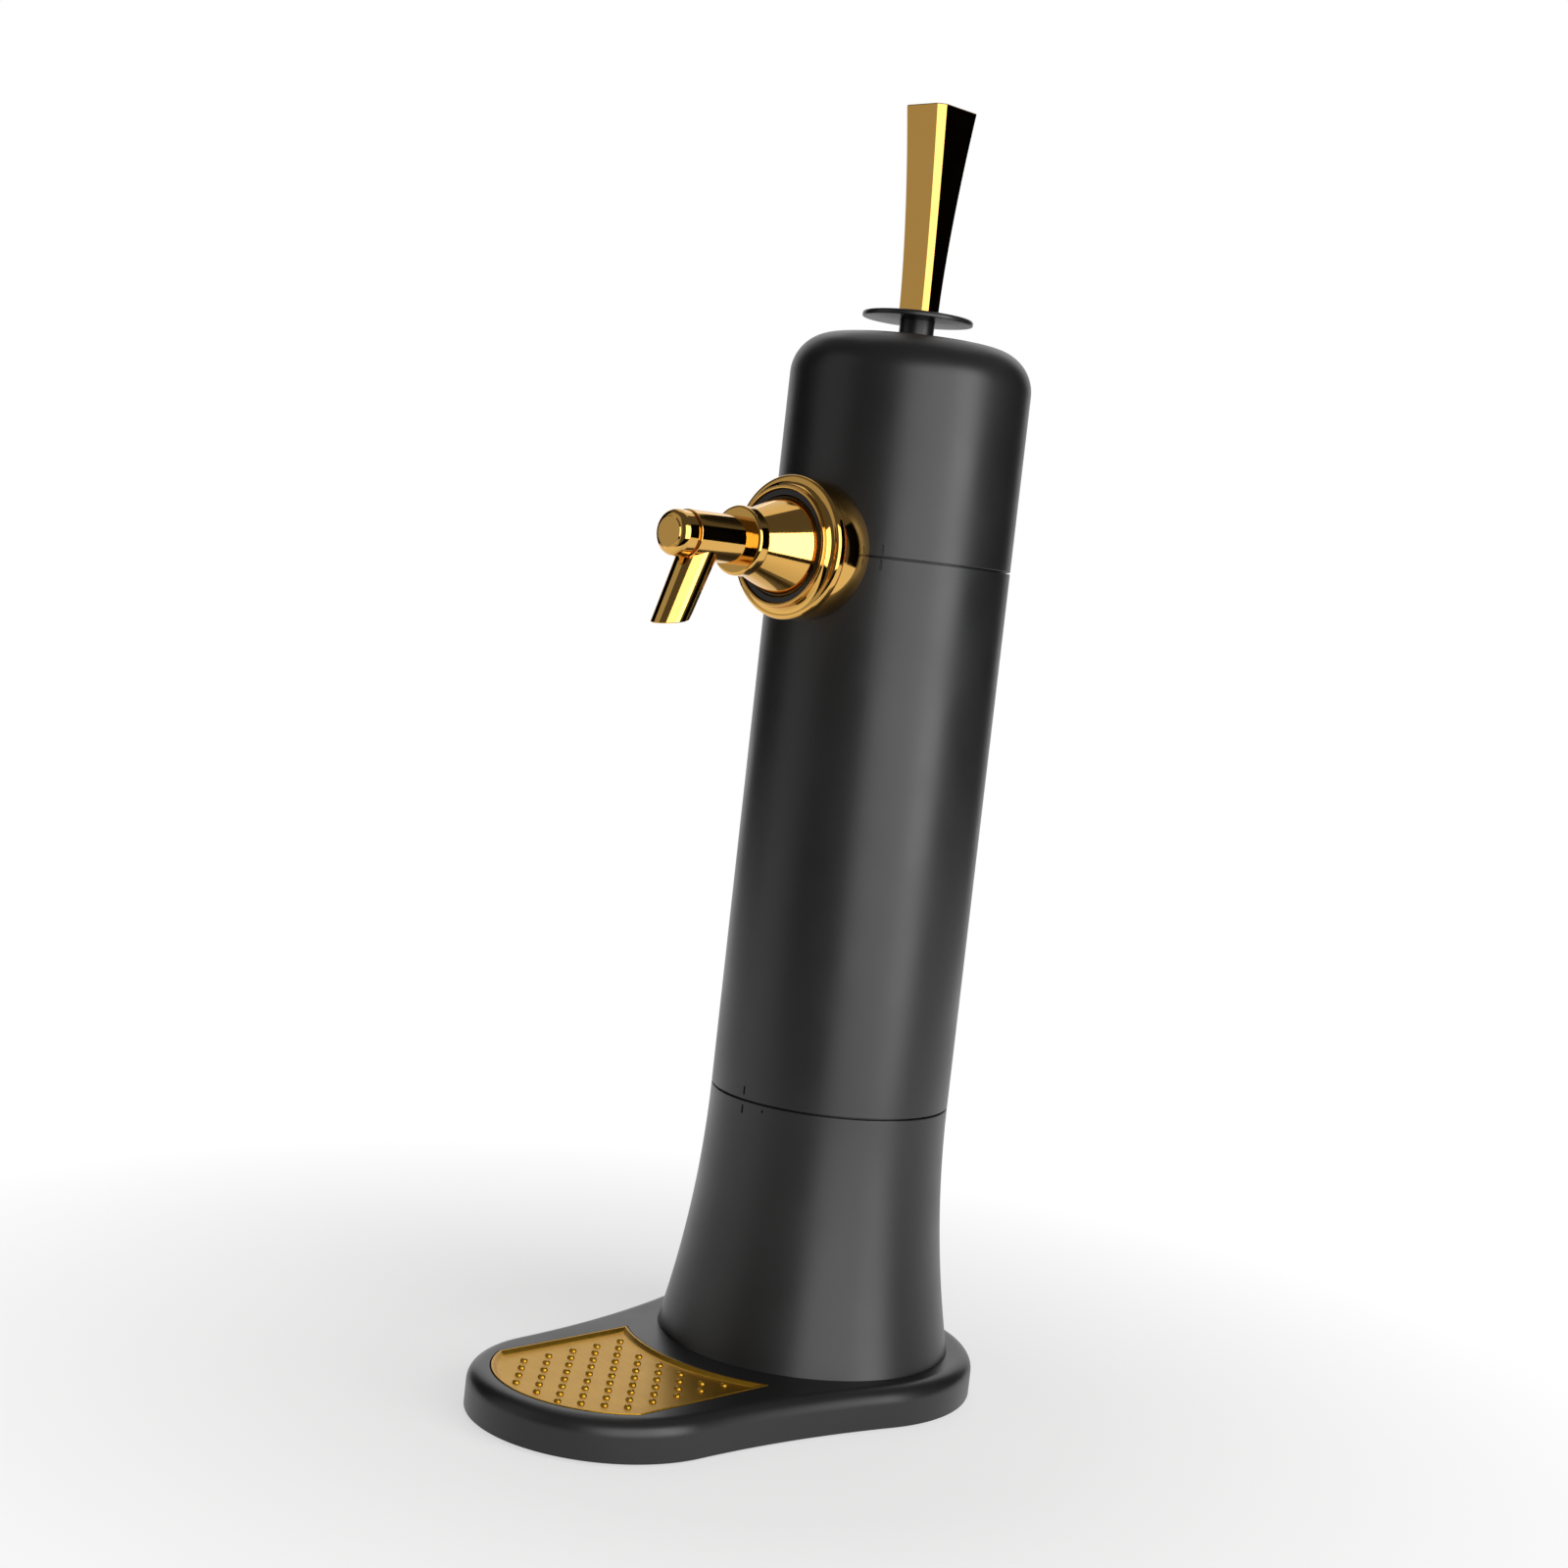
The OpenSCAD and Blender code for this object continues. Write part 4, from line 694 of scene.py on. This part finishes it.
# Lever handle: a die-cast bar in polished gold plating, with four chamfers, that flares to its flat top.
# It screws onto the lever's stud above the guard.
PIVOT_Z, GUARD_Z, HANDLE_Z, HANDLE_TALL = 358.15, 383.55, 385.75, 72
FOOT_X, FOOT_Y, GROWS_X, GROWS_Y = 6.9, 4.5, 2.45, 6.1
CHAMFER, CHAMFER_GROWS, CHAMFER_EDGE = 1.7, 0.68, 0.22
build = bmesh.new()
rings = []
levels = [(-0.25, 0.0), (0, 0.25)] + [(0, HANDLE_TALL * k / 24) for k in range(1, 24)]
levels += [(0, HANDLE_TALL - 0.4), (-0.12, HANDLE_TALL - 0.12), (-0.4, HANDLE_TALL)]
for grow, z in levels:
    rise = (z / HANDLE_TALL) ** 1.6
    half_x = FOOT_X + GROWS_X * rise + grow
    half_y = FOOT_Y + GROWS_Y * rise + grow
    leg = CHAMFER + CHAMFER_GROWS * rise
    corners = [(half_x, half_y - leg), (half_x - leg, half_y)]
    corners += [(leg - half_x, half_y), (-half_x, half_y - leg)]
    corners += [(-x, -y) for x, y in corners]
    spots = rounded([corner + (CHAMFER_EDGE,) for corner in corners], 2, True)
    rings.append([build.verts.new(Vector((p.x, TOWER_Y + p.y, HANDLE_Z + z)) * MM) for p in spots])
for one, two in zip(rings, rings[1:]):
    strip(build, one, two)
build.faces.new(rings[0])
build.faces.new(rings[-1])
solid("lever_handle", build, gold_plate, "lever", ["handle"], 20)

# Guard: a thin moulded ABS disc with a soft upper edge, slipped over the neck and held by the handle above.
# It shields the slot in the head.
SLEEVE_R, GUARD_R, GUARD_SHOULDER, GUARD_CROWN_R, GUARD_TALL = 6.2, 19.7, 1.75, 16.5, 2.2
guard = [(SLEEVE_R, GUARD_Z), (GUARD_R, GUARD_Z, 0.3), (GUARD_R, GUARD_Z + GUARD_SHOULDER, 0.9)]
guard += [(GUARD_CROWN_R, GUARD_Z + GUARD_TALL, 6), (SLEEVE_R, GUARD_Z + GUARD_TALL)]
disc = revolve(rounded(guard, 4, True), count=128)
solid("guard_disc", disc, black_abs, "lever", ["guard_plate"])

# Neck: a moulded black ABS sleeve, pushed over the lever's steel stud.
# It passes through the slot in the head and carries the guard and the handle.
neck_foot = PIVOT_Z + 11
neck = [(CENTRE_R, neck_foot), (SLEEVE_R, neck_foot, 0.4), (SLEEVE_R, HANDLE_Z, 0.3), (CENTRE_R, HANDLE_Z)]
sleeve = revolve(rounded(neck, 4, True), count=96)
solid("lever_neck_sleeve", sleeve, black_abs, "lever", ["lever_neck"])


# Works and fixings: pump, cells, switch, hoses, seals, screws and pads, in steel, rubber and plastics.
# The solids already have their real shapes, so each only gets its material.
# They show through the battery opening, through the slot in the head and from below.
def coat(name, colour, other, metallic, rough_low, rough_high, grain_mm, relief):
    """A material with two near tones and uneven gloss. Its grain is drawn coarser than the real one."""
    made, tree, out, place = material(name)
    grain = [("Vector", place), ("Scale", 1 / (grain_mm * MM)), ("Detail", 3)]
    grain = add(tree, "TexNoise", grain).outputs["Fac"]
    cloud = add(tree, "TexNoise", [("Vector", place), ("Scale", 1 / (grain_mm * 18 * MM))]).outputs["Fac"]
    tone = add(tree, "MixRGB", [("Fac", cloud), ("Color1", linear(colour)), ("Color2", linear(other))])
    span = [("Value", cloud), *GRAIN_SPAN, ("To Min", rough_low), ("To Max", rough_high)]
    rough = add(tree, "MapRange", span).outputs["Result"]
    bump = add(tree, "Bump", [("Height", grain), ("Strength", relief), ("Distance", 0.03 * MM)])
    body = [("Base Color", tone.outputs[0]), ("Metallic", metallic), ("Roughness", rough)]
    body += [("Normal", bump.outputs["Normal"])]
    tree.links.new(add(tree, "BsdfPrincipled", body).outputs[0], out.inputs["Surface"])
    return made


coats = {"black_abs": black_abs, "gold_plate": gold_plate, "gold_satin": gold_satin}
# Steel with electroplated zinc: a grey metal whose gloss is slightly cloudy.
coats["steel"] = coat("zinc_plated_steel", "#B4B6B8", "#A6A9AC", 1.0, 0.28, 0.42, 0.5, 0.1)
# Moulded rubber: near black and matt, with a fine pebbled skin.
coats["rubber"] = coat("matt_black_rubber", "#1C1C1C", "#242424", 0.0, 0.7, 0.85, 0.4, 0.3)
# Unpainted moulded plastic: an even dark grey, half matt.
coats["grey_plastic"] = coat("dark_grey_moulded_plastic", "#4A4A48", "#525250", 0.0, 0.45, 0.55, 0.4, 0.15)
# Extruded silicone rubber: milky, with a low gloss.
coats["clear_silicone"] = coat("milky_silicone_rubber", "#D6D9D9", "#CBCFCF", 0.0, 0.35, 0.5, 0.8, 0.1)
# Shrink wrapped foil round the cells: plain grey and glossy.
coats["cell_wrap"] = coat("shrink_wrapped_cells", "#7E8287", "#8A8E92", 0.3, 0.2, 0.3, 1.0, 0.05)
# Solder mask printed on the board: deep green and glossy.
coats["board"] = coat("green_solder_mask", "#1F6B3C", "#1B5F35", 0.0, 0.25, 0.35, 0.6, 0.1)
# Plated spring strip: a pale yellow metal with a low sheen.
coats["contact"] = coat("plated_brass_strip", "#C9A763", "#BE9C58", 1.0, 0.25, 0.35, 0.6, 0.1)
# Extruded vinyl sleeve: plain red and half glossy.
coats["wire"] = coat("red_vinyl_sleeve", "#A3281F", "#961F18", 0.0, 0.4, 0.5, 0.5, 0.1)

slots = {part["node"]: part["material_slot"] for part in frame["record"]["subparts"]}
for node, part in frame["nodes"].items():
    if len(part.data.materials) == 0:
        part.data.materials.append(coats[slots[node]])
    for k in range(len(part.data.materials)):
        part.data.materials[k] = coats[slots[node]]
